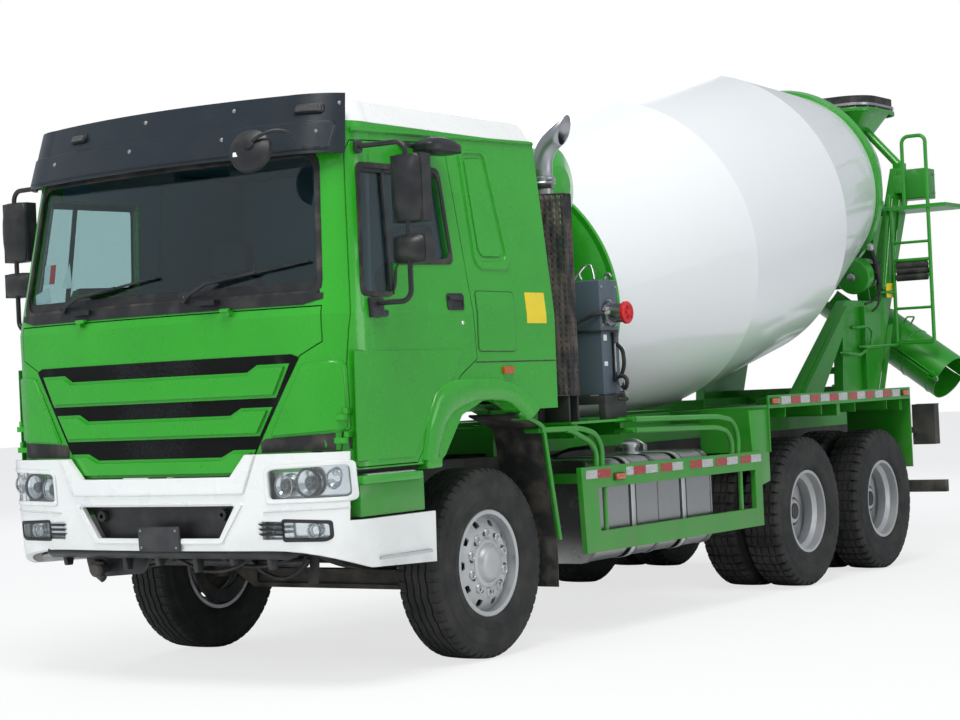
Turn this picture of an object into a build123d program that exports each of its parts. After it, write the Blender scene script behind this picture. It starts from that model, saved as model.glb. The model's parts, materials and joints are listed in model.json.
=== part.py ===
from build123d import *
import os
from math import cos, radians, sin, sqrt

os.makedirs("parts", exist_ok=True)

# Concrete mixer truck, 6x4, forward-control cab.
# Millimetres. The truck faces -Y, +X is its left side, +Z is up, Z = 0 is the ground.
# Every Y station is written from the front axle, so F + 600 is 600 mm behind that axle.

# ------------------------------------------------------------------ driving dimensions
FRONT_AXLE_Y = -3080.6     # puts the middle of the whole truck at Y = 0
WHEELBASE = 4025.0
BOGIE = 1350.0             # first to second rear axle
AXLE_Z = 542.0
FIT = 0.3                  # seat between pieces that rest on one another
RUN = 0.6                  # running gap at a shaft or a pin
SIDES = (("left", 1), ("right", -1))

F = FRONT_AXLE_Y
REAR_AXLES_Y = (F + WHEELBASE, F + WHEELBASE + BOGIE)
BOGIE_Y = F + WHEELBASE + BOGIE / 2
GUARD_Y = (REAR_AXLES_Y[0] - 616, REAR_AXLES_Y[1] + 570)      # rear mudguards
OUTRIGGER_Y = (GUARD_Y[0] + 51, BOGIE_Y - 30, GUARD_Y[1] - 85)

# tyres and rims (12R22.5 on 9.00 rims)
TYRE_R = 542.0
TYRE_W = 300.0
BEAD_R = 286.0
FRONT_WHEEL_X = 1011.0
DUAL_INNER_X = 743.0
DUAL_OUTER_X = 1087.0
DUAL_MID_X = (DUAL_INNER_X + DUAL_OUTER_X) / 2
HAND_HOLE_CIRCLE_R = 228.0
HAND_HOLE_R = 24.0
HAND_HOLES = 10

# steering
KINGPIN_X = 880.0
FIST_H = 130.0
ARM_Y = 200.0
TIE_Z = AXLE_Z - 96.0

# chassis
RAIL_X = 425.0             # outside of each rail
RAIL_W = 80.0
RAIL_T = 8.0
REAR_SPRING_X = RAIL_X + 85
RAIL_Z = (800.0, 1100.0)
RAIL_Y = (F - 1180, F + 6900)
TOW_Z = (890.0, 930.0)
TOW_PIN_R = 25.0
SUB_TOP = 1305.0
SUB_W = 60.0
SUB_Y = (F + 1150, F + 6900)

# drum: a frame whose Y runs up the drum's axis
DRUM_TILT = 12.516
DRUM_FOOT = (0, F + 1085.5, 1925.9)
DRUM_WALL = 6.0
DRUM_S = (963.0, 2484.0, 4066.0, 5461.0, 6150.0)      # stations up the axis
DRUM_R = (872.0, 1157.0, 1157.0, 825.0, 600.0)        # outside radius at each station
TRACK_W = 84.0
TRACK_R = 852.0
ROLLER_R = 125.0
ROLLER_X = 600.0

# cab
CAB_T = 40.0
DOOR_T = 50.0
DOOR_GAP = 6.0
CAB_REAR_Y = F + 663
CAB_FLOOR_Z = 1140.0
CAB_WAIST_Z = 1950.0
CAB_EAVES_Z = 2970.0
CAB_EAVES_HALF = 1130.0
ROOF_TOP_Z = 3100.0

axis_dir = Vector(0, cos(radians(DRUM_TILT)), sin(radians(DRUM_TILT)))
drum_plane = Plane(origin=DRUM_FOOT, x_dir=(1, 0, 0),
                   z_dir=(0, -sin(radians(DRUM_TILT)), cos(radians(DRUM_TILT))))
drum_axis = Axis(DRUM_FOOT, axis_dir)


def side_plane(x):
    """Plane across the truck at x: its X runs rearward (+Y), its Y runs up, its normal is +X."""
    return Plane(origin=(x, 0, 0), x_dir=(0, 1, 0), z_dir=(1, 0, 0))


def wheel_plane(y):
    """Plane through a wheel's axis: its X runs along world X, its Y is the radius, upward."""
    return Plane(origin=(0, y, AXLE_Z), x_dir=(1, 0, 0), z_dir=(0, -1, 0))


def box(x, y, z, mode=Mode.ADD):
    """Box between two corners, given as (from, to) along each axis."""
    with Locations(((x[0] + x[1]) / 2, (y[0] + y[1]) / 2, (z[0] + z[1]) / 2)):
        Box(abs(x[1] - x[0]), abs(y[1] - y[0]), abs(z[1] - z[0]), mode=mode)


def flat(points, plane, depth, both=False, mode=Mode.ADD):
    """Closed polygon on a plane, extruded."""
    with BuildSketch(plane) as outline:
        with BuildLine():
            Polyline(*points, close=True)
        make_face()
    extrude(outline.sketch, amount=depth, both=both, mode=mode)


def turned(points, plane, axis, mode=Mode.ADD):
    """Closed polygon on a plane, revolved."""
    with BuildSketch(plane) as outline:
        with BuildLine():
            Polyline(*points, close=True)
        make_face()
    revolve(outline.sketch, axis=axis, mode=mode)


def tube(points, radius, bend, mode=Mode.ADD):
    """Round bar along a route with bent corners."""
    if len(points) == 2:
        start, end = Vector(*points[0]), Vector(*points[1])
        with Locations(Plane(origin=start, z_dir=end - start)):
            Cylinder(radius, (end - start).length, align=(Align.CENTER, Align.CENTER, Align.MIN), mode=mode)
        return
    with BuildLine(mode=Mode.PRIVATE) as route:
        FilletPolyline(*points, radius=bend)
    path = route.wire()
    with BuildSketch(Plane(origin=path @ 0, z_dir=path % 0)) as section:
        Circle(radius)
    sweep(section.sketch, path=path, mode=mode)


# ------------------------------------------------------------------ wheels
def tyre_ring(centre_x, y):
    """One tyre: flat tread, rounded sidewalls and an open carcass."""
    w = TYRE_W / 2
    with BuildSketch(wheel_plane(y)) as section:
        with BuildLine():
            Polyline((centre_x - w + 32, BEAD_R), (centre_x - w + 32, BEAD_R + 14))
            ThreePointArc((centre_x - w + 32, BEAD_R + 14), (centre_x - w, BEAD_R + 124),
                          (centre_x - w + 14, TYRE_R - 27))
            Polyline((centre_x - w + 14, TYRE_R - 27), (centre_x - w + 34, TYRE_R),
                     (centre_x + w - 34, TYRE_R), (centre_x + w - 14, TYRE_R - 27))
            ThreePointArc((centre_x + w - 14, TYRE_R - 27), (centre_x + w, BEAD_R + 124),
                          (centre_x + w - 32, BEAD_R + 14))
            Polyline((centre_x + w - 32, BEAD_R + 14), (centre_x + w - 32, BEAD_R),
                     (centre_x + w - 54, BEAD_R), (centre_x + w - 26, BEAD_R + 130),
                     (centre_x + w - 38, TYRE_R - 32), (centre_x - w + 38, TYRE_R - 32),
                     (centre_x - w + 26, BEAD_R + 130), (centre_x - w + 54, BEAD_R),
                     (centre_x - w + 32, BEAD_R))
        make_face()
    revolve(section.sketch, axis=Axis((0, y, AXLE_Z), (1, 0, 0)))


def rim_barrel(centre_x, out, y):
    """Drop-centre barrel, with its well on the side away from out (+1 or -1)."""
    seat = BEAD_R - FIT
    outline = [(-127, 298.5), (-119, 298.5), (-119, seat), (-70, seat), (-45, 255), (25, 255),
               (50, seat), (119, seat), (119, 298.5), (127, 298.5),
               (127, 277), (46, 277), (21, 246), (-41, 246), (-66, 277), (-127, 277)]
    turned([(centre_x + out * a, r) for a, r in outline], wheel_plane(y),
           Axis((0, y, AXLE_Z), (1, 0, 0)))


for side_name, side in SIDES:
    # front wheel: one tyre, and a convex disc near the outer flange
    with BuildPart() as front_tyre:
        tyre_ring(side * FRONT_WHEEL_X, F)
    front_tyre.part.label = f"front_tyre_{side_name}"
    export_step(front_tyre.part, f"parts/front_tyre_{side_name}.step")

    with BuildPart() as front_wheel:
        cx = side * FRONT_WHEEL_X
        rim_barrel(cx, side, F)
        # disc, hub and brake drum, from the cap at the outside to the drum's open edge
        disc = [(154, 0), (154, 60), (146, 78), (118, 84), (118, 192), (66, 281), (52, 281), (104, 188),
                (104, 95), (40, 95), (40, 205), (-66, 205), (-66, 190), (30, 190), (30, 95),
                (-50, 95), (-50, 0)]
        turned([(cx + side * a, r) for a, r in disc], wheel_plane(F), Axis((0, F, AXLE_Z), (1, 0, 0)))
        with Locations(Plane(origin=(cx + side * 60, F, AXLE_Z), z_dir=(side, 0, 0))):
            with PolarLocations(HAND_HOLE_CIRCLE_R, HAND_HOLES, start_angle=18):
                Cylinder(HAND_HOLE_R, 90, mode=Mode.SUBTRACT)
    front_wheel.part.label = f"front_wheel_{side_name}"
    export_step(front_wheel.part, f"parts/front_wheel_{side_name}.step")

    # rear twins: two tyres, and two rims bolted back to back on one hub
    for axle, y in enumerate(REAR_AXLES_Y, start=1):
        with BuildPart() as rear_tyres:
            for x in (DUAL_INNER_X, DUAL_OUTER_X):
                tyre_ring(side * x, y)
        rear_tyres.part.label = f"rear_tyres_{axle}_{side_name}"
        export_step(rear_tyres.part, f"parts/rear_tyres_{axle}_{side_name}.step")

        with BuildPart() as rear_wheel:
            rim_barrel(side * DUAL_OUTER_X, -side, y)
            rim_barrel(side * DUAL_INNER_X, side, y)
            # one disc each side of the mating plane, as cones that meet at the hub
            for way, centre in ((1, DUAL_OUTER_X), (-1, DUAL_INNER_X)):
                face = DUAL_MID_X
                edge = centre - way * 60
                cone = [(face, 110), (face, 200), (edge - way * 8, 281), (edge + way * 8, 281),
                        (face + way * 12, 190), (face + way * 12, 110)]
                turned([(side * a, r) for a, r in cone], wheel_plane(y),
                       Axis((0, y, AXLE_Z), (1, 0, 0)))
            hub = [(600, 0), (600, 90), (640, 90), (640, 205), (860, 205), (870, 125), (930, 125),
                   (940, 112), (1085, 100), (1105, 80), (1105, 0)]
            turned([(side * a, r) for a, r in hub], wheel_plane(y), Axis((0, y, AXLE_Z), (1, 0, 0)))
        rear_wheel.part.label = f"rear_wheel_{axle}_{side_name}"
        export_step(rear_wheel.part, f"parts/rear_wheel_{axle}_{side_name}.step")

    # knuckle: a fork round the beam's fist, a spindle towards the hub and an arm to the tie rod
    with BuildPart() as knuckle:
        kx = side * KINGPIN_X
        for z in (AXLE_Z + FIST_H / 2 + RUN, AXLE_Z - FIST_H / 2 - RUN - 34):
            with Locations((kx, F, z)):
                Cylinder(46, 34, align=(Align.CENTER, Align.CENTER, Align.MIN))
            box((kx, side * 940), (F - 46, F + 46), (z, z + 34))
        box((side * 930, side * 940), (F - 70, F + 70), (AXLE_Z - 105, AXLE_Z + 105))
        with Locations(Plane(origin=(side * 938, F, AXLE_Z), z_dir=(side, 0, 0))):
            Cylinder(185, 4, align=(Align.CENTER, Align.CENTER, Align.MIN))
            Cylinder(45, 961 - 938 - RUN, align=(Align.CENTER, Align.CENTER, Align.MIN))
        box((kx - 16, kx + 16), (F, F + ARM_Y), (TIE_Z - 3, TIE_Z + 27))
        with Locations((kx, F + ARM_Y, TIE_Z - 3)):
            Cylinder(26, 30, align=(Align.CENTER, Align.CENTER, Align.MIN))
    knuckle.part.label = f"knuckle_{side_name}"
    export_step(knuckle.part, f"parts/knuckle_{side_name}.step")

# tie rod under the two arms
with BuildPart() as tie_rod:
    rod_top = TIE_Z - 3 - RUN
    with Locations(Plane(origin=(-KINGPIN_X, F + ARM_Y, rod_top - 20), z_dir=(1, 0, 0))):
        Cylinder(16, 2 * KINGPIN_X, align=(Align.CENTER, Align.CENTER, Align.MIN))
    with Locations(*[(s * KINGPIN_X, F + ARM_Y, rod_top - 40) for _, s in SIDES]):
        Cylinder(27, 40, align=(Align.CENTER, Align.CENTER, Align.MIN))
tie_rod.part.label = "tie_rod"
export_step(tie_rod.part, "parts/tie_rod.step")

# ------------------------------------------------------------------ axles and springs
with BuildPart() as axles:
    # front: a dropped I-beam with a fist at each end for the kingpin
    beam = [(-KINGPIN_X, AXLE_Z + 55), (-760, AXLE_Z + 55), (-600, 500), (600, 500),
            (760, AXLE_Z + 55), (KINGPIN_X, AXLE_Z + 55), (KINGPIN_X, AXLE_Z - 55),
            (740, AXLE_Z - 55), (580, 385), (-580, 385), (-740, AXLE_Z - 55), (-KINGPIN_X, AXLE_Z - 55)]
    flat(beam, Plane.XZ.offset(-F), 42, both=True)
    with BuildSketch(*[Plane.XZ.offset(-F + s * 42) for s in (-1, 1)]):
        with Locations((0, 443)):
            Rectangle(1100, 60)
    extrude(amount=24, both=True, mode=Mode.SUBTRACT)
    with Locations(*[(s * KINGPIN_X, F, AXLE_Z) for _, s in SIDES]):
        Cylinder(48, FIST_H)
    # rear: two driven housings
    for y in REAR_AXLES_Y:
        with Locations(Plane(origin=(-600 + RUN, y, AXLE_Z), z_dir=(1, 0, 0))):
            Cylinder(82, 1200 - 2 * RUN, align=(Align.CENTER, Align.CENTER, Align.MIN))
        with Locations((0, y, AXLE_Z)):
            Sphere(235)
        for _, s in SIDES:
            box((s * (REAR_SPRING_X - 55), s * (REAR_SPRING_X + 55)), (y - 90, y + 90), (AXLE_Z, AXLE_Z + 92))
    # the shaft that carries drive from the first axle to the second, and its flanges
    for start, end, z0, z1 in ((F + 1470 + FIT, REAR_AXLES_Y[0] - 190, 775, 620),
                               (REAR_AXLES_Y[0] + 190, REAR_AXLES_Y[1] - 190, 600, 600)):
        tube([(0, start, z0), (0, end, z1)], 45, 0)
        for y, z in ((start, z0), (end, z1)):
            with Locations(Plane(origin=(0, y, z), z_dir=(0, 1, 0))):
                Cylinder(75, 60)
axles.part.label = "axles"
export_step(axles.part, "parts/axles.step")

with BuildPart() as springs:
    for _, s in SIDES:
        # front: one curved pack between the rail's hangers, seated on the beam
        with BuildSketch(side_plane(s * (RAIL_X - 15))):
            with BuildLine():
                ThreePointArc((F - 800, 735), (F, 500 + FIT), (F + 800, 735))
                Line((F + 800, 735), (F + 800, 765))
                ThreePointArc((F + 800, 765), (F, 575), (F - 800, 765))
                Line((F - 800, 765), (F - 800, 735))
            make_face()
        extrude(amount=45, both=True)
        # rear: one thick pack over both axles, seated on the trunnion
        with BuildSketch(side_plane(s * REAR_SPRING_X)):
            with BuildLine():
                Polyline((REAR_AXLES_Y[0] - 90, AXLE_Z + 92 + FIT), (REAR_AXLES_Y[0] + 90, AXLE_Z + 92 + FIT),
                         (BOGIE_Y - 160, 600), (BOGIE_Y + 160, 600),
                         (REAR_AXLES_Y[1] - 90, AXLE_Z + 92 + FIT), (REAR_AXLES_Y[1] + 90, AXLE_Z + 92 + FIT),
                         (REAR_AXLES_Y[1] + 90, AXLE_Z + 130))
                ThreePointArc((REAR_AXLES_Y[1] + 90, AXLE_Z + 130), (BOGIE_Y, 770),
                              (REAR_AXLES_Y[0] - 90, AXLE_Z + 130))
                Line((REAR_AXLES_Y[0] - 90, AXLE_Z + 130), (REAR_AXLES_Y[0] - 90, AXLE_Z + 92 + FIT))
            make_face()
        extrude(amount=42, both=True)
springs.part.label = "springs"
export_step(springs.part, "parts/springs.step")

# ------------------------------------------------------------------ chassis
with BuildPart() as chassis_frame:
    for _, s in SIDES:
        channel = [(s * RAIL_X, RAIL_Z[0]), (s * RAIL_X, RAIL_Z[1]), (s * (RAIL_X - RAIL_W), RAIL_Z[1]),
                   (s * (RAIL_X - RAIL_W), RAIL_Z[1] - RAIL_T), (s * (RAIL_X - RAIL_T), RAIL_Z[1] - RAIL_T),
                   (s * (RAIL_X - RAIL_T), RAIL_Z[0] + RAIL_T), (s * (RAIL_X - RAIL_W), RAIL_Z[0] + RAIL_T),
                   (s * (RAIL_X - RAIL_W), RAIL_Z[0])]
        flat(channel, Plane.XZ.offset(-RAIL_Y[0]), -(RAIL_Y[1] - RAIL_Y[0]))
        # front spring hangers
        for y in (F - 840, F + 760):
            box((s * (RAIL_X - 60), s * (RAIL_X + 30)), (y, y + 80), (765 + FIT, RAIL_Z[0]))
        # trunnion bracket under the rear springs
        box((s * RAIL_X, s * (RAIL_X + 30)), (BOGIE_Y - 200, BOGIE_Y + 200), (480, 1000))
        box((s * RAIL_X, s * (REAR_SPRING_X + 50)), (BOGIE_Y - 110, BOGIE_Y + 110), (480, 600 - FIT))
    for y in (F - 1170, F + 1560, F + 2300, F + 3300, BOGIE_Y - 60, F + 6000, F + 6770):
        box((-RAIL_X + RAIL_T, RAIL_X - RAIL_T), (y, y + 120), (RAIL_Z[0] + 80, RAIL_Z[1] - 60))
    # towing lugs at both ends, each with an upright hole for a pin
    for y, way in ((RAIL_Y[0], -1), (F + 6900, 1)):
        box((-50, 50), (y - way * 20, y + way * 100), TOW_Z)
        with Locations((0, y + way * 55, (TOW_Z[0] + TOW_Z[1]) / 2)):
            Cylinder(TOW_PIN_R, TOW_Z[1] - TOW_Z[0] + 2, mode=Mode.SUBTRACT)
chassis_frame.part.label = "chassis_frame"
export_step(chassis_frame.part, "parts/chassis_frame.step")

with BuildPart() as engine:
    # engine and gearbox as one plain block, with feet to the rails
    foot = RAIL_X - RAIL_W - FIT
    box((-330, 330), (F - 620, F + 600), (640, 1420))
    box((-200, 200), (F + 600, F + 1440), (690, 1080))
    for y in (F - 300, F + 500):
        box((-foot, foot), (y, y + 100), (900, 1000))
engine.part.label = "engine"
export_step(engine.part, "parts/engine.step")

# ------------------------------------------------------------------ mixer frame
with BuildPart() as mixer_subframe:
    base = RAIL_Z[1] + FIT
    for _, s in SIDES:
        box((s * RAIL_X, s * (RAIL_X - SUB_W)), SUB_Y, (base, SUB_TOP))
        # outriggers that carry the rear shelves
        for y in OUTRIGGER_Y:
            box((s * RAIL_X, s * 1180), (y, y + 60), (SUB_TOP - 90, SUB_TOP))
    for y in (F + 1150, F + 2400, *OUTRIGGER_Y, F + 6800):
        box((-RAIL_X, RAIL_X), (y, y + 80), (base + 20, SUB_TOP - 20))
mixer_subframe.part.label = "mixer_subframe"
export_step(mixer_subframe.part, "parts/mixer_subframe.step")

STAND_TOP = 1810.0
CRADLE_TOP = 1700.0
# drum gearbox, at the low end of the drum's axis, on two feet
with BuildPart() as drum_drive:
    body = [(0, 250), (150, 250), (150, 330), (230, 360), (230, 520), (190, 560), (190, 700 - RUN),
            (0, 700 - RUN)]
    turned(body, drum_plane, drum_axis)
    for _, s in SIDES:
        box((s * 110, s * 200), (F + 1470, F + 1560), (CRADLE_TOP + FIT, 1950))
drum_drive.part.label = "drum_drive"
export_step(drum_drive.part, "parts/drum_drive.step")

with BuildPart() as front_stand:
    # two raked legs and a cradle under the gearbox
    for _, s in SIDES:
        leg = [(F + 1190, SUB_TOP + FIT), (F + 1890, SUB_TOP + FIT), (F + 1780, 1560), (F + 1700, STAND_TOP),
               (F + 1440, STAND_TOP), (F + 1330, 1560)]
        flat(leg, side_plane(s * (RAIL_X - 30)), 30, both=True)
    box((-RAIL_X, RAIL_X), (F + 1440, F + 1700), (1600, CRADLE_TOP))
front_stand.part.label = "front_stand"
export_step(front_stand.part, "parts/front_stand.step")

# ------------------------------------------------------------------ drum
slope_out = [(r, s) for r, s in zip(DRUM_R, DRUM_S)]
with BuildPart() as drum_shell:
    inner = [(r - DRUM_WALL, s) for r, s in slope_out]
    turned(slope_out + inner[::-1], drum_plane, drum_axis)
drum_shell.part.label = "drum_shell"
export_step(drum_shell.part, "parts/drum_shell.step")

with BuildPart() as drum_rings:
    # dished head with its flange, and the shaft flange at the middle
    front = DRUM_S[0] - FIT
    with BuildSketch(drum_plane):
        with BuildLine():
            Polyline((0, 700), (200, 700), (200, 745))
            ThreePointArc((200, 745), (560, 800), (DRUM_R[0] - 30, front - 30))
            Polyline((DRUM_R[0] - 30, front - 30), (DRUM_R[0] + 8, front - 30), (DRUM_R[0] + 8, front),
                     (DRUM_R[0] - 38, front))
            ThreePointArc((DRUM_R[0] - 38, front), (560, 815), (200, 760))
            Polyline((200, 760), (0, 760), (0, 700))
        make_face()
    revolve(axis=drum_axis)
    # track ring round the rear cone
    drop = (DRUM_R[3] - DRUM_R[4]) / (DRUM_S[4] - DRUM_S[3]) * TRACK_W
    track = [(DRUM_R[3] + 0.6, DRUM_S[3]), (DRUM_R[3] - drop + 0.7, DRUM_S[3] + TRACK_W),
             (TRACK_R, DRUM_S[3] + TRACK_W), (TRACK_R, DRUM_S[3])]
    turned(track, drum_plane, drum_axis)
drum_rings.part.label = "drum_rings"
export_step(drum_rings.part, "parts/drum_rings.step")

# support rollers under the track ring
reach = TRACK_R + ROLLER_R + RUN
roller_drop = sqrt(reach ** 2 - ROLLER_X ** 2)
roller_mid = DRUM_S[3] + TRACK_W / 2
for side_name, side in SIDES:
    with BuildPart() as roller:
        with Locations(Plane(origin=drum_plane.from_local_coords((side * ROLLER_X, roller_mid, -roller_drop)),
                             z_dir=axis_dir)):
            Cylinder(ROLLER_R, 80)
            Cylinder(30, 140)
    roller.part.label = f"drum_roller_{side_name}"
    export_step(roller.part, f"parts/drum_roller_{side_name}.step")

# ------------------------------------------------------------------ rear of the mixer
STAND_X = (600.0, 680.0)
STAND_TOP_Z = 3300.0
with BuildPart() as rear_stand:
    base = SUB_TOP + FIT
    for _, s in SIDES:
        # raked strut, roller bed and the arm that carries the hopper, all in one plate
        plate = [(F + 4950, base), (F + 5450, base), (F + 5950, 1830), (F + 5900, base), (F + 6600, base),
                 (F + 6860, 1900), (F + 7450, 3020), (F + 7450, STAND_TOP_Z), (F + 7280, STAND_TOP_Z),
                 (F + 6900, 2560), (F + 6760, 2130), (F + 6030, 2130)]
        with BuildSketch(side_plane(s * STAND_X[0])) as web:
            with BuildLine():
                Polyline(*plate, close=True)
            make_face()
        extrude(web.sketch, amount=s * (STAND_X[1] - STAND_X[0]))
        # feet onto the subframe
        box((s * (RAIL_X - SUB_W), s * STAND_X[1]), (F + 4950, F + 5450), (base, base + 60))
        box((s * (RAIL_X - SUB_W), s * STAND_X[1]), (F + 5900, F + 6600), (base, base + 60))
    box((-STAND_X[0], STAND_X[0]), (F + 6240, F + 6340), (base, base + 120))
    box((-STAND_X[0], STAND_X[0]), (F + 6800, F + 6900), (2260, 2330))
    # roller cheeks, one each side of each roller
    for _, s in SIDES:
        for along in (-70 - RUN, 70 + RUN + 16):
            at = drum_plane.from_local_coords((s * ROLLER_X, roller_mid + along, -roller_drop))
            with Locations(Plane(origin=at, x_dir=(1, 0, 0), z_dir=-axis_dir)):
                with Locations((0, -100)):
                    Box(110, 340, 16, align=(Align.CENTER, Align.CENTER, Align.MIN))
    # bracket that holds the chute's swivel
    box((-60, 60), (F + 6340, F + 7300), (base + 20, base + 90))
    with Locations((0, F + 7350, base + 20)):
        Cylinder(75, 110, align=(Align.CENTER, Align.CENTER, Align.MIN))
rear_stand.part.label = "rear_stand"
export_step(rear_stand.part, "parts/rear_stand.step")

HOPPER_TOP = 3840.0
with BuildPart() as hopper:
    def funnel(wall):
        with BuildSketch(Plane.XY.offset(HOPPER_TOP)) as top:
            with Locations((0, F + 7425)):
                RectangleRounded(960 - 2 * wall, 750 - 2 * wall, 230 - wall)
        with BuildSketch(Plane.XY.offset(3450)) as bottom:
            with Locations((0, F + 7385)):
                RectangleRounded(380 - 2 * wall, 330 - 2 * wall, 90 - wall)
        return top.sketch.faces() + bottom.sketch.faces()
    loft(funnel(0), ruled=True)
    # a strut each side, from the funnel down to a foot on the stand
    for _, s in SIDES:
        tube([(s * 320, F + 7395, 3690), (s * 640, F + 7395, 3330)], 36, 0)
        box((s * STAND_X[0], s * STAND_X[1]), (F + 7340, F + 7450), (STAND_TOP_Z + FIT, STAND_TOP_Z + 50))
    loft(funnel(6), ruled=True, mode=Mode.SUBTRACT)
hopper.part.label = "hopper"
export_step(hopper.part, "parts/hopper.step")

with BuildPart() as hopper_collar:
    with BuildSketch(Plane.XY.offset(HOPPER_TOP + FIT)):
        with Locations((0, F + 7425)):
            RectangleRounded(1000, 790, 250)
            RectangleRounded(930, 720, 215, mode=Mode.SUBTRACT)
    extrude(amount=110)
hopper_collar.part.label = "hopper_collar"
export_step(hopper_collar.part, "parts/hopper_collar.step")

COLLECTOR_Z = (2370.0, 2510.0, 3050.0)
COLLECTOR_HALF = 400.0
with BuildPart() as collector:
    def trough(wall):
        with BuildSketch(Plane.XY.offset(COLLECTOR_Z[1])) as top:
            with Locations((0, F + 7290)):
                Rectangle(2 * (COLLECTOR_HALF - wall), 580 - 2 * wall)
        with BuildSketch(Plane.XY.offset(COLLECTOR_Z[0])) as bottom:
            with Locations((0, F + 7370)):
                Rectangle(300 - 2 * wall, 300 - 2 * wall)
        return top.sketch.faces() + bottom.sketch.faces()
    loft(trough(0), ruled=True)
    # the back and the sides go on up behind the mouth
    box((-COLLECTOR_HALF, COLLECTOR_HALF), (F + 7300, F + 7580), (COLLECTOR_Z[1], COLLECTOR_Z[2]))
    loft(trough(6), ruled=True, mode=Mode.SUBTRACT)
    box((-COLLECTOR_HALF + 6, COLLECTOR_HALF - 6), (F + 7290, F + 7574),
        (COLLECTOR_Z[1] - 1, COLLECTOR_Z[2] + 1), mode=Mode.SUBTRACT)
    box((-COLLECTOR_HALF + 6, COLLECTOR_HALF - 6), (F + 7020, F + 7300),
        (COLLECTOR_Z[1] - 1, COLLECTOR_Z[1] + 1), mode=Mode.SUBTRACT)
    for _, s in SIDES:
        box((s * COLLECTOR_HALF, s * (STAND_X[0] - FIT)), (F + 7330, F + 7410), (2900, 2960))
        box((s * (COLLECTOR_HALF - 20), s * (STAND_X[0] - FIT)), (F + 7010, F + 7040), (2470, 2500))
collector.part.label = "collector"
export_step(collector.part, "parts/collector.step")

# chute: it swings about the upright post and tips about the hinge beside it. A second length lies
# folded over it, open side down, hinged at its tip
CHUTE_SWING = 100.0        # parked angle from straight back, towards the left
CHUTE_SLOPE = 34.0
POST = (0, F + 7350)
POST_Z = (SUB_TOP + FIT + 130 + RUN, 1560.0)
HINGE_OUT = 300.0
HINGE_Z = 2005.0
CHUTE_R = 200.0
CHUTE_WALL = 5.0
CHUTE_BEHIND = 500.0       # how far the gutter reaches behind its hinge
CHUTE_LENGTH = 1490.0
EXTENSION_LENGTH = 830.0
EXTENSION_GAP = 8.0        # between the rims of the two gutters
TIP_LUG = 18.0
out_dir = Vector(sin(radians(CHUTE_SWING)), cos(radians(CHUTE_SWING)), 0)
cross_dir = Vector(cos(radians(CHUTE_SWING)), -sin(radians(CHUTE_SWING)), 0)
swing_plane = Plane(origin=(POST[0], POST[1], 0), x_dir=out_dir, z_dir=(0, 0, 1))
hinge_at = swing_plane.from_local_coords((HINGE_OUT, 0, HINGE_Z))
chute_dir = out_dir * cos(radians(CHUTE_SLOPE)) - Vector(0, 0, sin(radians(CHUTE_SLOPE)))
# at the tip: X across, Y square to the gutter and downward, Z on down the gutter
tip_plane = Plane(origin=hinge_at + chute_dir * (CHUTE_LENGTH - CHUTE_BEHIND), x_dir=cross_dir,
                  z_dir=chute_dir)


def gutter(side, start, length):
    """Half-round gutter on one side of the hinge's plane, between two stations up from the tip."""
    with BuildSketch(tip_plane.offset(-start)) as section:
        Circle(CHUTE_R)
        Circle(CHUTE_R - CHUTE_WALL, mode=Mode.SUBTRACT)
        with Locations((0, -side * (CHUTE_R - EXTENSION_GAP / 2))):
            Rectangle(3 * CHUTE_R, 2 * CHUTE_R, mode=Mode.SUBTRACT)
    extrude(section.sketch, amount=length)


def tip_knuckle(side, inner):
    """Hinge knuckles at the tip, both edges, with the plates that carry them."""
    for lateral in (1, -1):
        with Locations(tip_plane):
            with Locations((lateral * (inner + TIP_LUG / 2), 0, 0)):
                Cylinder(16, TIP_LUG, rotation=(0, 90, 0))
            with Locations((lateral * (inner + TIP_LUG / 2), side * 19, -40)):
                Box(TIP_LUG, 26, 80)
            with Locations((lateral * (CHUTE_R - 4 + inner + TIP_LUG) / 2, side * 24, -60)):
                Box(inner + TIP_LUG - CHUTE_R + 4, 16, 40)


with BuildPart() as chute_swivel:
    with Locations(swing_plane):
        with Locations((0, 0, POST_Z[0])):
            Cylinder(50, POST_Z[1] - POST_Z[0], align=(Align.CENTER, Align.CENTER, Align.MIN))
        with Locations((0, 0, POST_Z[1] - 30)):
            Box(110, 2 * (CHUTE_R + 40), 30, align=(Align.CENTER, Align.CENTER, Align.MIN))
        for lateral in (CHUTE_R + 30, -CHUTE_R - 30):
            with Locations((HINGE_OUT / 2, lateral, POST_Z[1] - 30)):
                Box(HINGE_OUT + 80, 20, 60, align=(Align.CENTER, Align.CENTER, Align.MIN))
            with Locations((HINGE_OUT, lateral, POST_Z[1])):
                Box(80, 20, HINGE_Z + 40 - POST_Z[1], align=(Align.CENTER, Align.CENTER, Align.MIN))
chute_swivel.part.label = "chute_swivel"
export_step(chute_swivel.part, "parts/chute_swivel.step")

with BuildPart() as chute:
    gutter(1, CHUTE_LENGTH, CHUTE_LENGTH)
    # round bosses on the tipping axis, running against the swivel's cheeks
    for lateral in (-1, 1):
        with Locations(Plane(origin=hinge_at + cross_dir * (lateral * (CHUTE_R + 20 - RUN - 12.5)),
                             z_dir=cross_dir)):
            Cylinder(35, 25)
    tip_knuckle(1, CHUTE_R)
chute.part.label = "chute"
export_step(chute.part, "parts/chute.step")

with BuildPart() as chute_extension:
    gutter(-1, EXTENSION_LENGTH, EXTENSION_LENGTH - 4)
    tip_knuckle(-1, CHUTE_R + TIP_LUG + RUN)
chute_extension.part.label = "chute_extension"
export_step(chute_extension.part, "parts/chute_extension.step")

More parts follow.
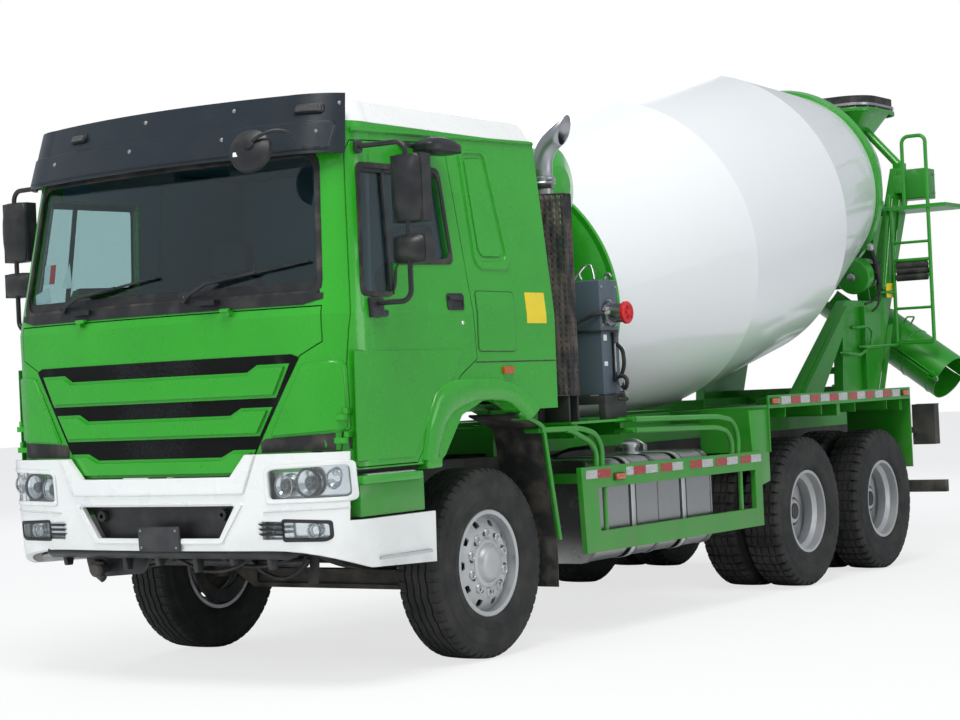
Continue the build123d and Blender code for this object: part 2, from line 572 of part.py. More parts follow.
LADDER_X = (745.0, 1078.0)
LADDER_Y = F + 6915
LADDER_FOOT_Z = 1750.0
HOOP_TOP_Z = 3520.0
PLATFORM_Z = 2920.0
with BuildPart() as ladder:
    tube([(LADDER_X[0], LADDER_Y, LADDER_FOOT_Z), (LADDER_X[0], LADDER_Y, PLATFORM_Z - 10)], 16, 0)
    # the outer rail goes on up into a hand hoop
    tube([(LADDER_X[1], LADDER_Y, LADDER_FOOT_Z), (LADDER_X[1], LADDER_Y, HOOP_TOP_Z),
          (LADDER_X[1] - 210, LADDER_Y, HOOP_TOP_Z), (LADDER_X[1] - 210, LADDER_Y, PLATFORM_Z - 10)], 16, 60)
    for z in range(1780, 2900, 280):
        tube([(LADDER_X[0] + 8, LADDER_Y, z), (LADDER_X[1] - 8, LADDER_Y, z)], 12, 0)
    box((STAND_X[1] + FIT, 1240), (LADDER_Y - 25, F + 7380), (PLATFORM_Z - 20, PLATFORM_Z))
    # stay to the stand's plate
    box((STAND_X[1] + FIT, LADDER_X[0]), (LADDER_Y - 15, LADDER_Y + 15), (2190, 2220))
ladder.part.label = "ladder"
export_step(ladder.part, "parts/ladder.step")

with BuildPart() as rear_bumper:
    box((-1150, 1150), (F + 6840, F + 6900), (500, 600))
    for _, s in SIDES:
        box((s * (RAIL_X - RAIL_W), s * RAIL_X), (F + 6820, F + 6900), (500, RAIL_Z[0] - FIT))
        box((s * 860, s * 1060), (F + 6880, F + 6980), (900, 1240))
        box((s * (RAIL_X + FIT), s * 900), (F + 6840, F + 6885), (1000, 1050))
rear_bumper.part.label = "rear_bumper"
export_step(rear_bumper.part, "parts/rear_bumper.step")

# ------------------------------------------------------------------ along the chassis
with BuildPart() as mudguards_rear:
    for _, s in SIDES:
        box((s * 690, s * 1240), GUARD_Y, (SUB_TOP + FIT, SUB_TOP + 12))
        box((s * 1228, s * 1240), GUARD_Y, (SUB_TOP + FIT, 1397))
        box((s * 690, s * 1240), (GUARD_Y[0], GUARD_Y[0] + 12), (1000, SUB_TOP + 12))
        box((s * 690, s * 1240), (GUARD_Y[1] - 12, GUARD_Y[1]), (760, SUB_TOP + 12))
mudguards_rear.part.label = "rear_mudguards"
export_step(mudguards_rear.part, "parts/rear_mudguards.step")

with BuildPart() as front_mudguards:
    for _, s in SIDES:
        guard = [(F + 260, 1368), (F + 515, 1284), (F + 646, 574), (F + 646, 340), (F + 654, 340),
                 (F + 658, 574), (F + 526, 1294), (F + 264, 1380)]
        with BuildSketch(side_plane(s * 860)) as shape:
            with BuildLine():
                Polyline(*guard, close=True)
            make_face()
        extrude(shape.sketch, amount=s * 325)
        box((s * (RAIL_X + FIT), s * 880), (F + 588, F + 628), (880, 940))
front_mudguards.part.label = "front_mudguards"
export_step(front_mudguards.part, "parts/front_mudguards.step")

with BuildPart() as side_guards:
    for _, s in SIDES:
        frame = [(F + 871, 1030), (F + 3261, 1014), (F + 3261, 500), (F + 906, 511)]
        inside = [(F + 1057, 898), (F + 3159, 890), (F + 3159, 626), (F + 1075, 634)]
        with BuildSketch(side_plane(s * 1205)) as ring:
            with BuildLine():
                Polyline(*frame, close=True)
            make_face()
            with BuildLine():
                Polyline(*inside, close=True)
            make_face(mode=Mode.SUBTRACT)
        extrude(ring.sketch, amount=s * 35)
        for y in (F + 960, F + 3180):
            box((s * (RAIL_X + FIT), s * 1205), (y, y + 50), (930, 990))
side_guards.part.label = "side_guards"
export_step(side_guards.part, "parts/side_guards.step")

TANK_Y = (F + 1150, F + 2680)
with BuildPart() as fuel_tank:
    with BuildSketch(Plane.XZ.offset(-TANK_Y[0])):
        with Locations((835, 745)):
            RectangleRounded(630, 630, 130)
    extrude(amount=-(TANK_Y[1] - TANK_Y[0]))
    for y in (TANK_Y[0] + 300, TANK_Y[1] - 360):
        box((RAIL_X + FIT, 540), (y, y + 60), (830, 1000))
fuel_tank.part.label = "fuel_tank"
export_step(fuel_tank.part, "parts/fuel_tank.step")

with BuildPart() as air_tanks:
    # battery box and two air reservoirs on the right
    box((-1120, -560), (F + 1150, F + 1750), (480, 960))
    box((-560, -RAIL_X - FIT), (F + 1300, F + 1600), (840, 900))
    for x, z in ((-700, 760), (-980, 760)):
        with Locations(Plane(origin=(x, F + 1850, z), z_dir=(0, 1, 0))):
            Cylinder(125, 780, align=(Align.CENTER, Align.CENTER, Align.MIN))
    for y in (F + 1980, F + 2420):
        box((-1000, -RAIL_X - FIT), (y, y + 40), (850, 900))
air_tanks.part.label = "air_tanks"
export_step(air_tanks.part, "parts/air_tanks.step")

DECK = (SUB_TOP - 15, SUB_TOP)
with BuildPart() as deck:
    for _, s in SIDES:
        box((s * (RAIL_X + FIT), s * 1150), (F + 930, F + 1900), DECK)
        box((s * (RAIL_X + FIT), s * 1000), (F + 1200, F + 1240), (1200, DECK[0]))
        box((s * (RAIL_X + FIT), s * 1000), (F + 1760, F + 1800), (1200, DECK[0]))
deck.part.label = "front_deck"
export_step(deck.part, "parts/front_deck.step")

with BuildPart() as exhaust:
    STACK = (1000.0, F + 1040)
    with Locations((STACK[0], STACK[1], DECK[1] + FIT)):
        Cylinder(55, 150, align=(Align.CENTER, Align.CENTER, Align.MIN))
    with Locations((STACK[0], STACK[1], 1450)):
        Cylinder(100, 1260, align=(Align.CENTER, Align.CENTER, Align.MIN))
    tube([(STACK[0], STACK[1], 2700), (STACK[0], STACK[1], 2960), (STACK[0] + 90, STACK[1] + 60, 3180)],
         55, 150)
exhaust.part.label = "exhaust"
export_step(exhaust.part, "parts/exhaust.step")

with BuildPart() as oil_cooler:
    box((650, 1060), (F + 1480, F + 1690), (1460, 2180))
    for x in (660, 1010):
        box((x, x + 40), (F + 1500, F + 1670), (DECK[1] + FIT, 1460))
    with Locations(Plane(origin=(1060, F + 1585, 1975), z_dir=(1, 0, 0))):
        Cylinder(62, 60, align=(Align.CENTER, Align.CENTER, Align.MIN))
        Cylinder(48, 110, align=(Align.CENTER, Align.CENTER, Align.MIN))
oil_cooler.part.label = "oil_cooler"
export_step(oil_cooler.part, "parts/oil_cooler.step")

with BuildPart() as water_tank:
    TANK_AT = (F + 1420, 2800.0)
    TANK_R = 260.0
    shell = [(-860, 0), (-845, 120), (-780, TANK_R), (780, TANK_R), (845, 120), (860, 0)]
    turned(shell, Plane(origin=(0, TANK_AT[0], TANK_AT[1]), x_dir=(1, 0, 0), z_dir=(0, -1, 0)),
           Axis((0, TANK_AT[0], TANK_AT[1]), (1, 0, 0)))
    for _, s in SIDES:
        box((s * (RAIL_X - 60), s * RAIL_X), (F + 1450, F + 1530), (STAND_TOP + FIT, 2600))
water_tank.part.label = "water_tank"
export_step(water_tank.part, "parts/water_tank.step")

# ------------------------------------------------------------------ cab
# front corner in plan: three points on its arc, as (in from the side, back from the front)
CORNER = ((0, 360), (45, 170), (170, 90))
VISOR_CORNER = ((0, 480), (66, 230), (290, 110))


def corner_points(half, front, side, corner):
    """Three points of a front corner, from the side round to the front."""
    return [(side * (half - inward), front + back) for inward, back in corner]


def cab_ring(z, half, front, inset, corner=CORNER):
    """Plan of the cab at one height: flat back and sides, rounded corners, bowed front."""
    half = half - inset
    front = F + front + inset
    left = corner_points(half, front, 1, corner)
    right = corner_points(half, front, -1, corner)
    with BuildSketch(Plane.XY.offset(z)) as plan:
        with BuildLine():
            Line((-half, CAB_REAR_Y - inset), (half, CAB_REAR_Y - inset))
            Line((half, CAB_REAR_Y - inset), left[0])
            ThreePointArc(*left)
            ThreePointArc(left[2], (0, front), right[2])
            ThreePointArc(*right[::-1])
            Line(right[0], (-half, CAB_REAR_Y - inset))
        make_face()
    return plan.sketch.face()


CAB_SECTIONS = ((CAB_FLOOR_Z, 1225, -1462), (CAB_WAIST_Z, 1232, -1470), (CAB_EAVES_Z, CAB_EAVES_HALF, -1305))


def corner_point(sections, z, x, corner):
    """Point and outward direction on the rounded corner of a two-section body, at a height and an x."""
    (z0, half0, front0), (z1, half1, front1) = sections
    share = (z - z0) / (z1 - z0)
    half = half0 + share * (half1 - half0)
    front = F + front0 + share * (front1 - front0)
    arc = ThreePointArc(*corner_points(half, front, 1, corner), mode=Mode.PRIVATE)
    middle = arc.arc_center
    lift = sqrt(arc.radius ** 2 - (x - middle.X) ** 2)
    point = Vector(x, middle.Y - lift, z)
    return point, Vector(x - middle.X, -lift, 0).normalized()


def cab_body(inset, mode=Mode.ADD):
    loft([cab_ring(z, half, front, inset) for z, half, front in CAB_SECTIONS], ruled=True, mode=mode)


def cab_half_at(z):
    """Half width of the cab's straight side at a height above the waist."""
    share = (z - CAB_WAIST_Z) / (CAB_EAVES_Z - CAB_WAIST_Z)
    return CAB_SECTIONS[1][1] + share * (CAB_EAVES_HALF - CAB_SECTIONS[1][1])


def grown(points, by):
    """The same outline, moved out by a distance on every side."""
    with BuildSketch(mode=Mode.PRIVATE) as outline:
        with BuildLine():
            Polyline(*points, close=True)
        make_face()
    return offset(outline.sketch, by, kind=Kind.INTERSECTION, mode=Mode.PRIVATE)


def across(points, by, s, mode):
    """An outline of the cab's side, cut or kept through one side of it."""
    with BuildSketch(side_plane(s * 900), mode=Mode.PRIVATE) as area:
        add(grown(points, by))
    extrude(area.sketch, amount=s * 500, mode=mode)


def ahead(points, by, start, mode):
    """An outline of the cab's front, cut or kept forward of a station."""
    with BuildSketch(Plane.XZ.offset(-F + start), mode=Mode.PRIVATE) as area:
        add(grown(points, by))
    extrude(area.sketch, amount=500, mode=mode)


DOOR = [(F - 1318, 1235), (F - 1250, 1155), (F - 760, 1155), (F - 560, 1400), (F - 330, 1610),
        (F - 165, 1700), (F - 270, 2905), (F - 1105, 2860), (F - 1142, 2800), (F - 1277, 1862)]
WINDOW = [(F - 1180, 2050), (F - 900, 2050), (F - 850, 2225), (F - 335, 2240), (F - 365, 2745),
          (F - 1085, 2735)]
SCREEN = [(-1080, 2060), (1080, 2060), (1000, 2800), (-1000, 2800)]
LID = [(-530, 1160), (530, 1160), (680, 1300), (960, 1745), (1090, 1810), (1090, 1990), (-1090, 1990),
       (-1090, 1810), (-960, 1745), (-680, 1300)]
WHEEL_ARCH = [(F - 620, 1100), (F - 500, 1180), (F - 330, 1390), (F - 100, 1470), (F + 200, 1450),
              (F + 420, 1400), (F + 700, 1400), (F + 700, 1100)]
DOOR_HINGE = (1187.0, F - 1322)
DOOR_HINGE_Z = (1280.0, 1400.0)
LID_HINGE = (F - 1472, 2000.0)
LID_HINGE_X = 500.0
LUG = 30.0                 # length of one hinge knuckle along its pin
CAB_FLOOR = (1400.0, 1440.0)
TUNNEL_HALF = 400.0
TUNNEL_TOP = 1520.0

with BuildPart() as cab_shell:
    cab_body(0)
    cab_body(CAB_T, mode=Mode.SUBTRACT)
    # floor, with a tunnel over the engine
    box((-1180, 1180), (F - 1250, F + 640), CAB_FLOOR)
    box((-TUNNEL_HALF, TUNNEL_HALF), (F - 1250, F + 640), (CAB_FLOOR[0], TUNNEL_TOP))
    box((-TUNNEL_HALF + CAB_T, TUNNEL_HALF - CAB_T), (F - 1500, F + 623),
        (CAB_FLOOR[0] - 1, TUNNEL_TOP - CAB_T), mode=Mode.SUBTRACT)
    # the front corners stop above the bumper, the underside is open over the engine
    for _, s in SIDES:
        box((s * 1000, s * 1300), (F - 1600, F - 1318), (1100, 1246), mode=Mode.SUBTRACT)
    box((-1300, 1300), (F - 300, F + 700), (1100, CAB_FLOOR[0]), mode=Mode.SUBTRACT)
    for _, s in SIDES:
        across(DOOR, DOOR_GAP, s, Mode.SUBTRACT)
        across(WHEEL_ARCH, 0, s, Mode.SUBTRACT)
        # rubber-mounted feet on the rails
        for y in (F - 1100, F + 520):
            box((s * (RAIL_X - 75), s * (RAIL_X - 5)), (y, y + 80), (RAIL_Z[1] + FIT, CAB_FLOOR[0]))
    ahead(SCREEN, 0, 1150, Mode.SUBTRACT)
    ahead(LID, DOOR_GAP, 1300, Mode.SUBTRACT)
    # the cab's half of each hinge
    for _, s in SIDES:
        for z in DOOR_HINGE_Z:
            with Locations((s * DOOR_HINGE[0], DOOR_HINGE[1], z)):
                Cylinder(12, LUG, align=(Align.CENTER, Align.CENTER, Align.MIN))
            box((s * 1115, s * (DOOR_HINGE[0] + 12)), (DOOR_HINGE[1] - 24, DOOR_HINGE[1]), (z, z + LUG))
        tube([(s * LID_HINGE_X, *LID_HINGE), (s * (LID_HINGE_X + LUG), *LID_HINGE)], 10, 0)
        box((s * LID_HINGE_X, s * (LID_HINGE_X + LUG)), (LID_HINGE[0], F - 1440),
            (LID_HINGE[1] - 3, LID_HINGE[1] + 10))
cab_shell.part.label = "cab_shell"
export_step(cab_shell.part, "parts/cab_shell.step")

for side_name, side in SIDES:
    with BuildPart() as door:
        cab_body(0)
        cab_body(DOOR_T, mode=Mode.SUBTRACT)
        across(DOOR, 0, side, Mode.INTERSECT)
        across(WINDOW, 0, side, Mode.SUBTRACT)
        for z in DOOR_HINGE_Z:
            z += LUG + RUN
            with Locations((side * DOOR_HINGE[0], DOOR_HINGE[1], z)):
                Cylinder(12, LUG, align=(Align.CENTER, Align.CENTER, Align.MIN))
            box((side * (DOOR_HINGE[0] - 12), side * (DOOR_HINGE[0] + 12)), (DOOR_HINGE[1], F - 1270),
                (z, z + LUG))
    door.part.label = f"door_{side_name}"
    export_step(door.part, f"parts/door_{side_name}.step")

    with BuildPart() as door_glass:
        cab_body(20)
        cab_body(26, mode=Mode.SUBTRACT)
        across(WINDOW, -FIT, side, Mode.INTERSECT)
    door_glass.part.label = f"door_glass_{side_name}"
    export_step(door_glass.part, f"parts/door_glass_{side_name}.step")

    with BuildPart() as mirror:
        tube([(side * (cab_half_at(2000) + 3), F - 1090, 2000), (side * 1450, F - 1060, 2000),
              (side * 1450, F - 1060, 2830), (side * (cab_half_at(2830) + 3), F - 1080, 2830)], 14, 60)
        with Locations((side * 1450, F - 1020, 2585)):
            Box(200, 80, 350)
        with Locations((side * 1450, F - 1020, 2270)):
            Box(210, 80, 140)
    mirror.part.label = f"mirror_{side_name}"
    export_step(mirror.part, f"parts/mirror_{side_name}.step")

with BuildPart() as windscreen:
    cab_body(12)
    cab_body(18, mode=Mode.SUBTRACT)
    ahead(SCREEN, -FIT, 1150, Mode.INTERSECT)
windscreen.part.label = "windscreen"
export_step(windscreen.part, "parts/windscreen.step")

LID_T = 30.0
LID_WING = (860.0, 9.0)    # beyond this X the panel thins, so its edge swings clear of the opening
with BuildPart() as wing_back:
    cab_body(LID_WING[1])
    box((-LID_WING[0], LID_WING[0]), (F - 1700, F + 800), (CAB_FLOOR_Z - 10, CAB_EAVES_Z + 10), Mode.SUBTRACT)
with BuildPart() as front_lid:
    cab_body(0)
    cab_body(LID_T, mode=Mode.SUBTRACT)
    add(wing_back.part, mode=Mode.SUBTRACT)
    ahead(LID, 0, 1300, Mode.INTERSECT)
    for _, s in SIDES:
        start = s * (LID_HINGE_X + LUG + RUN)
        tube([(start, *LID_HINGE), (start + s * LUG, *LID_HINGE)], 10, 0)
        box((start, start + s * LUG), (LID_HINGE[0], F - 1440), (LID_HINGE[1] - 30, LID_HINGE[1] - 3))
front_lid.part.label = "front_lid"
export_step(front_lid.part, "parts/front_lid.step")

ROOF = ((CAB_EAVES_Z + FIT, CAB_EAVES_HALF, -1305), (ROOF_TOP_Z, CAB_EAVES_HALF - 110, -1215))
with BuildPart() as cab_roof:
    loft([cab_ring(z, half, front, 0) for z, half, front in ROOF], ruled=True)
    loft([cab_ring(CAB_EAVES_Z, CAB_EAVES_HALF, -1305, CAB_T),
          cab_ring(ROOF_TOP_Z - CAB_T, CAB_EAVES_HALF - 110, -1215, CAB_T)], ruled=True, mode=Mode.SUBTRACT)
cab_roof.part.label = "cab_roof"
export_step(cab_roof.part, "parts/cab_roof.step")

VISOR = ((2790.0, 1168, -1480), (ROOF_TOP_Z + FIT + 14, 1150, -1380))
with BuildPart() as sun_visor:
    loft([cab_ring(z, half, front, 0, VISOR_CORNER) for z, half, front in VISOR], ruled=True)
    loft([cab_ring(z, half, front, 14, VISOR_CORNER) for z, half, front in
          ((VISOR[0][0] - 1, 1168, -1480), (VISOR[1][0] - 14, 1150, -1380))], ruled=True, mode=Mode.SUBTRACT)
    behind = [(F - 1175, 2700), (F - 1175, 2790), (F - 1090, 3200), (F + 800, 3200), (F + 800, 2700)]
    flat(behind, side_plane(0), 1300, both=True, mode=Mode.SUBTRACT)
sun_visor.part.label = "sun_visor"
export_step(sun_visor.part, "parts/sun_visor.step")

# steering wheel in front of the right-hand seat
WHEEL_AT = (-560.0, F - 800, 2010.0)
COLUMN_TILT = 35.0
COLUMN_END = 150.0
column_dir = Vector(0, sin(radians(COLUMN_TILT)), cos(radians(COLUMN_TILT)))
with BuildPart() as cab_interior:
    floor = CAB_FLOOR[1] + FIT
    dash = [(F - 1330, 1700), (F - 1330, 1960), (F - 1000, 1960), (F - 930, 1820), (F - 960, 1600),
            (F - 1100, 1540), (F - 1280, 1540)]
    flat(dash, side_plane(0), 990, both=True)
    for _, s in SIDES:
        box((s * 430, s * 480), (F - 1230, F - 1100), (floor, 1560))
        # seats
        box((s * 430, s * 930), (F - 500, F + 20), (1660, 1800))
        box((s * 560, s * 800), (F - 440, F - 40), (floor, 1660))
        box((s * 440, s * 920), (F - 60, F + 60), (1780, 2500))
    # shroud that the steering column comes out of
    with Locations(Plane(origin=WHEEL_AT, x_dir=(1, 0, 0), z_dir=column_dir)):
        with Locations((0, 0, -COLUMN_END)):
            Cylinder(40, 180, align=(Align.CENTER, Align.CENTER, Align.MAX))
    # bunk
    box((-1100, 1100), (F + 130, F + 600), (TUNNEL_TOP + FIT, 1720))
cab_interior.part.label = "cab_interior"
export_step(cab_interior.part, "parts/cab_interior.step")

with BuildPart() as steering_wheel:
    with Locations(Plane(origin=WHEEL_AT, x_dir=(1, 0, 0), z_dir=column_dir)):
        Torus(225, 16)
        Cylinder(55, 50)
        with PolarLocations(130, 3, start_angle=90):
            Box(190, 30, 14)
        Cylinder(22, COLUMN_END - RUN, align=(Align.CENTER, Align.CENTER, Align.MAX))
steering_wheel.part.label = "steering_wheel"
export_step(steering_wheel.part, "parts/steering_wheel.step")

with BuildPart() as cab_mirror:
    # round mirror on a bent tube ahead of the left front corner
    foot, away = corner_point(VISOR, 2900, 1050, VISOR_CORNER)
    tube([foot + away * 2.7, foot + away * 120, (860, F - 1610, 2880), (850, F - 1610, 2830)], 10, 25)
    with Locations(Plane(origin=(850, F - 1600, 2800), z_dir=(0.2, -1, -0.3))):
        Cylinder(118, 40)
cab_mirror.part.label = "front_mirror"
export_step(cab_mirror.part, "parts/front_mirror.step")

# ------------------------------------------------------------------ bumper and lamps
BUMPER = ((610.0, 1235, -1495), (1240.0, 1248, -1530))
with BuildPart() as bumper:
    loft([cab_ring(z, half, front, 0) for z, half, front in BUMPER], ruled=True)
    loft([cab_ring(z, half, front, 28) for z, half, front in ((609, 1235, -1495), (1241, 1248, -1530))],
         ruled=True, mode=Mode.SUBTRACT)
    # the back ends at the steps, the corners stand higher than the middle
    box((-1300, 1300), (F - 640, F + 800), (600, 1300), mode=Mode.SUBTRACT)
    box((-1300, 1300), (F - 1335, F - 600), (885, 1300), mode=Mode.SUBTRACT)
    dip = [(-700, 1300), (-540, 1125), (540, 1125), (700, 1300)]
    flat(dip, Plane.XZ.offset(-F), 2000, mode=Mode.SUBTRACT)
    intake = [(-560, 978), (560, 978), (440, 800), (-440, 800)]
    flat(intake, Plane.XZ.offset(-F), 2000, mode=Mode.SUBTRACT)
    for _, s in SIDES:
        lamp = [(s * 770, 1168), (s * 1225, 1185), (s * 1225, 998), (s * 770, 990)]
        flat(lamp, Plane.XZ.offset(-F + 1290), 400, mode=Mode.SUBTRACT)
        fog = [(s * 720, 890), (s * 1120, 880), (s * 1120, 795), (s * 720, 795)]
        flat(fog, Plane.XZ.offset(-F + 1290), 400, mode=Mode.SUBTRACT)
        # step tread and the bracket to the rail
        box((s * 960, s * 1210), (F - 1180, F - 640), (640, 660))
        box((s * (RAIL_X - RAIL_W), s * RAIL_X), (F - 1490, RAIL_Y[0] - FIT), (985, 1085))
bumper.part.label = "bumper"
export_step(bumper.part, "parts/bumper.step")

with BuildPart() as headlamps:
    loft([cab_ring(z, half, front, 6) for z, half, front in BUMPER], ruled=True)
    loft([cab_ring(z, half, front, 26) for z, half, front in ((609, 1235, -1495), (1241, 1248, -1530))],
         ruled=True, mode=Mode.SUBTRACT)
    with BuildSketch(Plane.XZ.offset(-F + 1300)) as lamps:
        for _, s in SIDES:
            for outline in ([(770, 1168), (1225, 1185), (1225, 998), (770, 990)],
                            [(720, 890), (1120, 880), (1120, 795), (720, 795)]):
                with BuildLine():
                    Polyline(*[(s * x, z) for x, z in outline], close=True)
                make_face()
    seated = offset(lamps.sketch, -FIT, kind=Kind.INTERSECTION, mode=Mode.PRIVATE)
    extrude(seated, amount=400, mode=Mode.INTERSECT)
headlamps.part.label = "headlamps"
export_step(headlamps.part, "parts/headlamps.step")
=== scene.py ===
# %% [markdown]
# # A concrete mixer truck
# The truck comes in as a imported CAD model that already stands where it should, so this lesson
# gives it a camera, light, paint and the many small fittings that make it look used and real.
# Every length is in metres, the truck faces -Y, and +X is its left side.

# %% Load the frame
import json
import math
import random
from math import cos, hypot, pi, radians, sin, sqrt

import bmesh
import bpy
from mathutils import Matrix, Vector


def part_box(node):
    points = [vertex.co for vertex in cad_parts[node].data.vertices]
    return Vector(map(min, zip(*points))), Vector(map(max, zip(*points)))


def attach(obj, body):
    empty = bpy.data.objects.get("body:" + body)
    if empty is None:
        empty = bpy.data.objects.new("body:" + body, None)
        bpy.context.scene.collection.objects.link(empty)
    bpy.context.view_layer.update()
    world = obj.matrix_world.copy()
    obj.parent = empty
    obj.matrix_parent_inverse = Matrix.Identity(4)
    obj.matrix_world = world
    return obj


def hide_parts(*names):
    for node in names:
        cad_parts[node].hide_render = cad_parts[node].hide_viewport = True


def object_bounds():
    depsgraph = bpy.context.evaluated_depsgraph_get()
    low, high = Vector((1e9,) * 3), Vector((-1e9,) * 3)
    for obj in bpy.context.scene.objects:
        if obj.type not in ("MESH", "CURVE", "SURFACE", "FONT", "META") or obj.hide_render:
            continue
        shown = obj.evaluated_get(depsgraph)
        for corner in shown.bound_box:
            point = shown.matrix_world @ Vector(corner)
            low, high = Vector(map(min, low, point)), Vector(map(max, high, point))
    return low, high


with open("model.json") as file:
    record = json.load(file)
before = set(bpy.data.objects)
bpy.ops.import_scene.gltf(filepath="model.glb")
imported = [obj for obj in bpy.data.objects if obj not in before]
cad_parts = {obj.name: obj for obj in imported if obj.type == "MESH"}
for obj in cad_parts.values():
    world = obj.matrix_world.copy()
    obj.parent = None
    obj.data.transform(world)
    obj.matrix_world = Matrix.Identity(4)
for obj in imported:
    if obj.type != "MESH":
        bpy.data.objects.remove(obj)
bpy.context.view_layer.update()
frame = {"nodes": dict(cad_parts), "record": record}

NODES = frame["nodes"]
tyre_low, tyre_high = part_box("front_tyre_left")
FRONT_AXLE_Y = (tyre_low.y + tyre_high.y) / 2
AXLE_Z = (tyre_low.z + tyre_high.z) / 2
TYRE_R = (tyre_high.z - tyre_low.z) / 2
SIDES = (("left", 1), ("right", -1))
print("nodes", len(NODES), "front axle at y", round(FRONT_AXLE_Y, 4), "z", round(AXLE_Z, 4))


# %% [markdown]
# Positions along the truck are easiest to read from the front axle, so one helper shifts them.

# %% Helpers for places and objects
def at(x, y, z):
    """A point given from the front axle's line on the ground."""
    return Vector((x, FRONT_AXLE_Y + y, z))


def in_scene(name, data):
    """A new object for a mesh, a lamp or a camera."""
    obj = bpy.data.objects.new(name, data)
    bpy.context.scene.collection.objects.link(obj)
    return obj


# %% [markdown]
# ## Camera
# A long lens from a little below head height, at the front left corner. Its axes are worked out
# from three angles: the way it faces, its rise, and a small roll.

# %% Camera
CAMERA_PLACE = at(7.7498, -9.7005, 1.5138)
YAW, RISE, ROLL = (radians(a) for a in (34.2817, 0.8767, -2.5773))
LENS_MM, SENSOR_MM, FARTHEST_SEEN = 77.55, 36, 200

forward = Vector((-sin(YAW) * cos(RISE), cos(YAW) * cos(RISE), sin(RISE)))
level_right = Vector((cos(YAW), sin(YAW), 0))
level_up = level_right.cross(forward)
camera_right = level_right * cos(ROLL) + level_up * sin(ROLL)
camera_up = level_up * cos(ROLL) - level_right * sin(ROLL)
lens = bpy.data.cameras.new("camera")
lens.lens = LENS_MM
lens.sensor_width = SENSOR_MM
lens.clip_end = FARTHEST_SEEN
camera = in_scene("camera", lens)
axes = Matrix((camera_right, camera_up, -forward)).transposed().to_4x4()
camera.matrix_world = Matrix.Translation(CAMERA_PLACE) @ axes
bpy.context.scene.camera = camera
print("camera at", [round(c, 3) for c in CAMERA_PLACE])


# %% [markdown]
# ## A small language for materials
# A material is a graph of nodes. Wrapping a node's output in a class that understands +, -
# and * lets a finish be written as a formula, such as dust * 0.4 + 0.3, and every other node
# comes from one method that takes its type, its settings and its inputs.

# %% Values and finishes
class Value:
    """One output of a node, which adds Math nodes when it is used in a sum."""

    def __init__(self, finish, socket):
        self.finish = finish
        self.socket = socket

    def _math(self, operation, a, b):
        return self.finish.node("ShaderNodeMath", {"operation": operation}, {0: a, 1: b})

    def __add__(self, other):
        return self._math("ADD", self, other)

    def __radd__(self, other):
        return self._math("ADD", other, self)

    def __sub__(self, other):
        return self._math("SUBTRACT", self, other)

    def __rsub__(self, other):
        return self._math("SUBTRACT", other, self)

    def __mul__(self, other):
        return self._math("MULTIPLY", self, other)

    def __rmul__(self, other):
        return self._math("MULTIPLY", other, self)


EDGE_SAMPLES = 4


class Finish:
    """A material, or the sky, under construction."""

    def __init__(self, name, kind=bpy.data.materials):
        self.material = kind.new(name)
        self.material.use_nodes = True
        self.tree = self.material.node_tree
        self.tree.nodes.clear()

    def node(self, kind, settings=None, inputs=None, out=0):
        made = self.tree.nodes.new(kind)
        for key, value in (settings or {}).items():
            setattr(made, key, value)
        for key, value in (inputs or {}).items():
            if isinstance(value, Value):
                self.tree.links.new(value.socket, made.inputs[key])
            else:
                made.inputs[key].default_value = value
        return Value(self, made.outputs[out]) if made.outputs else None

    def place(self):
        """Where the surface point is on the truck at rest."""
        return self.node("ShaderNodeTexCoord", out="Object")

    def axis(self, letter):
        return self.node("ShaderNodeSeparateXYZ", None, {0: self.place()}, out="XYZ".index(letter))

    def noise(self, scale, detail=3.0, roughness=0.5, stretch=None):
        where = self.place()
        if stretch:
            where = self.node("ShaderNodeMapping", None, {"Vector": where, "Scale": stretch})
        return self.node("ShaderNodeTexNoise", None,
            {"Vector": where, "Scale": scale, "Detail": detail, "Roughness": roughness})

    def ramp(self, value, low, high, bottom=0, top=1):
        """Maps low..high to bottom..top, held at both ends."""
        return self.node("ShaderNodeMapRange", {"clamp": True},
            {"Value": value, "From Min": low, "From Max": high, "To Min": bottom, "To Max": top})

    def mix(self, factor, first, second):
        """Blends two colours."""
        def solid(colour):
            return colour if isinstance(colour, Value) else (*colour[:3], 1)
        return self.node("ShaderNodeMix", {"data_type": "RGBA"},
            {0: factor, 6: solid(first), 7: solid(second)}, out=2)

    def bump(self, height, distance, strength, normal=None):
        """Small hills and hollows, so many metres high, on top of another normal."""
        inputs = {"Height": height, "Distance": distance, "Strength": strength}
        if normal:
            inputs["Normal"] = normal
        return self.node("ShaderNodeBump", None, inputs)

    def soft_edges(self, radius):
        """A normal that rounds sharp edges a little, as paint and castings do."""
        return self.node("ShaderNodeBevel", {"samples": EDGE_SAMPLES}, {"Radius": radius})

    def surface(self, **sockets):
        shader = self.node("ShaderNodeBsdfPrincipled", None,
            {key.replace("_", " "): value for key, value in sockets.items()})
        self.node("ShaderNodeOutputMaterial", None, {"Surface": shader})
        return self.material


FINISHES = {}


def finish(name, slot):
    """Starts a finish and remembers which material slot of the record it belongs to."""
    made = Finish(name)
    FINISHES[name] = (made.material, slot)
    return made


print("finishes are written as formulas")


# %% [markdown]
# ## Paint
# Sprayed paint on a lorry is a bright colour under a clear coat. Three things keep it from
# looking like plastic: a faint orange-peel ripple, edges that catch the light because the paint
# rounds them, and road dust that thickens towards the ground and gathers in patches.

# %% Paints
DUST = (0.23, 0.2, 0.16)


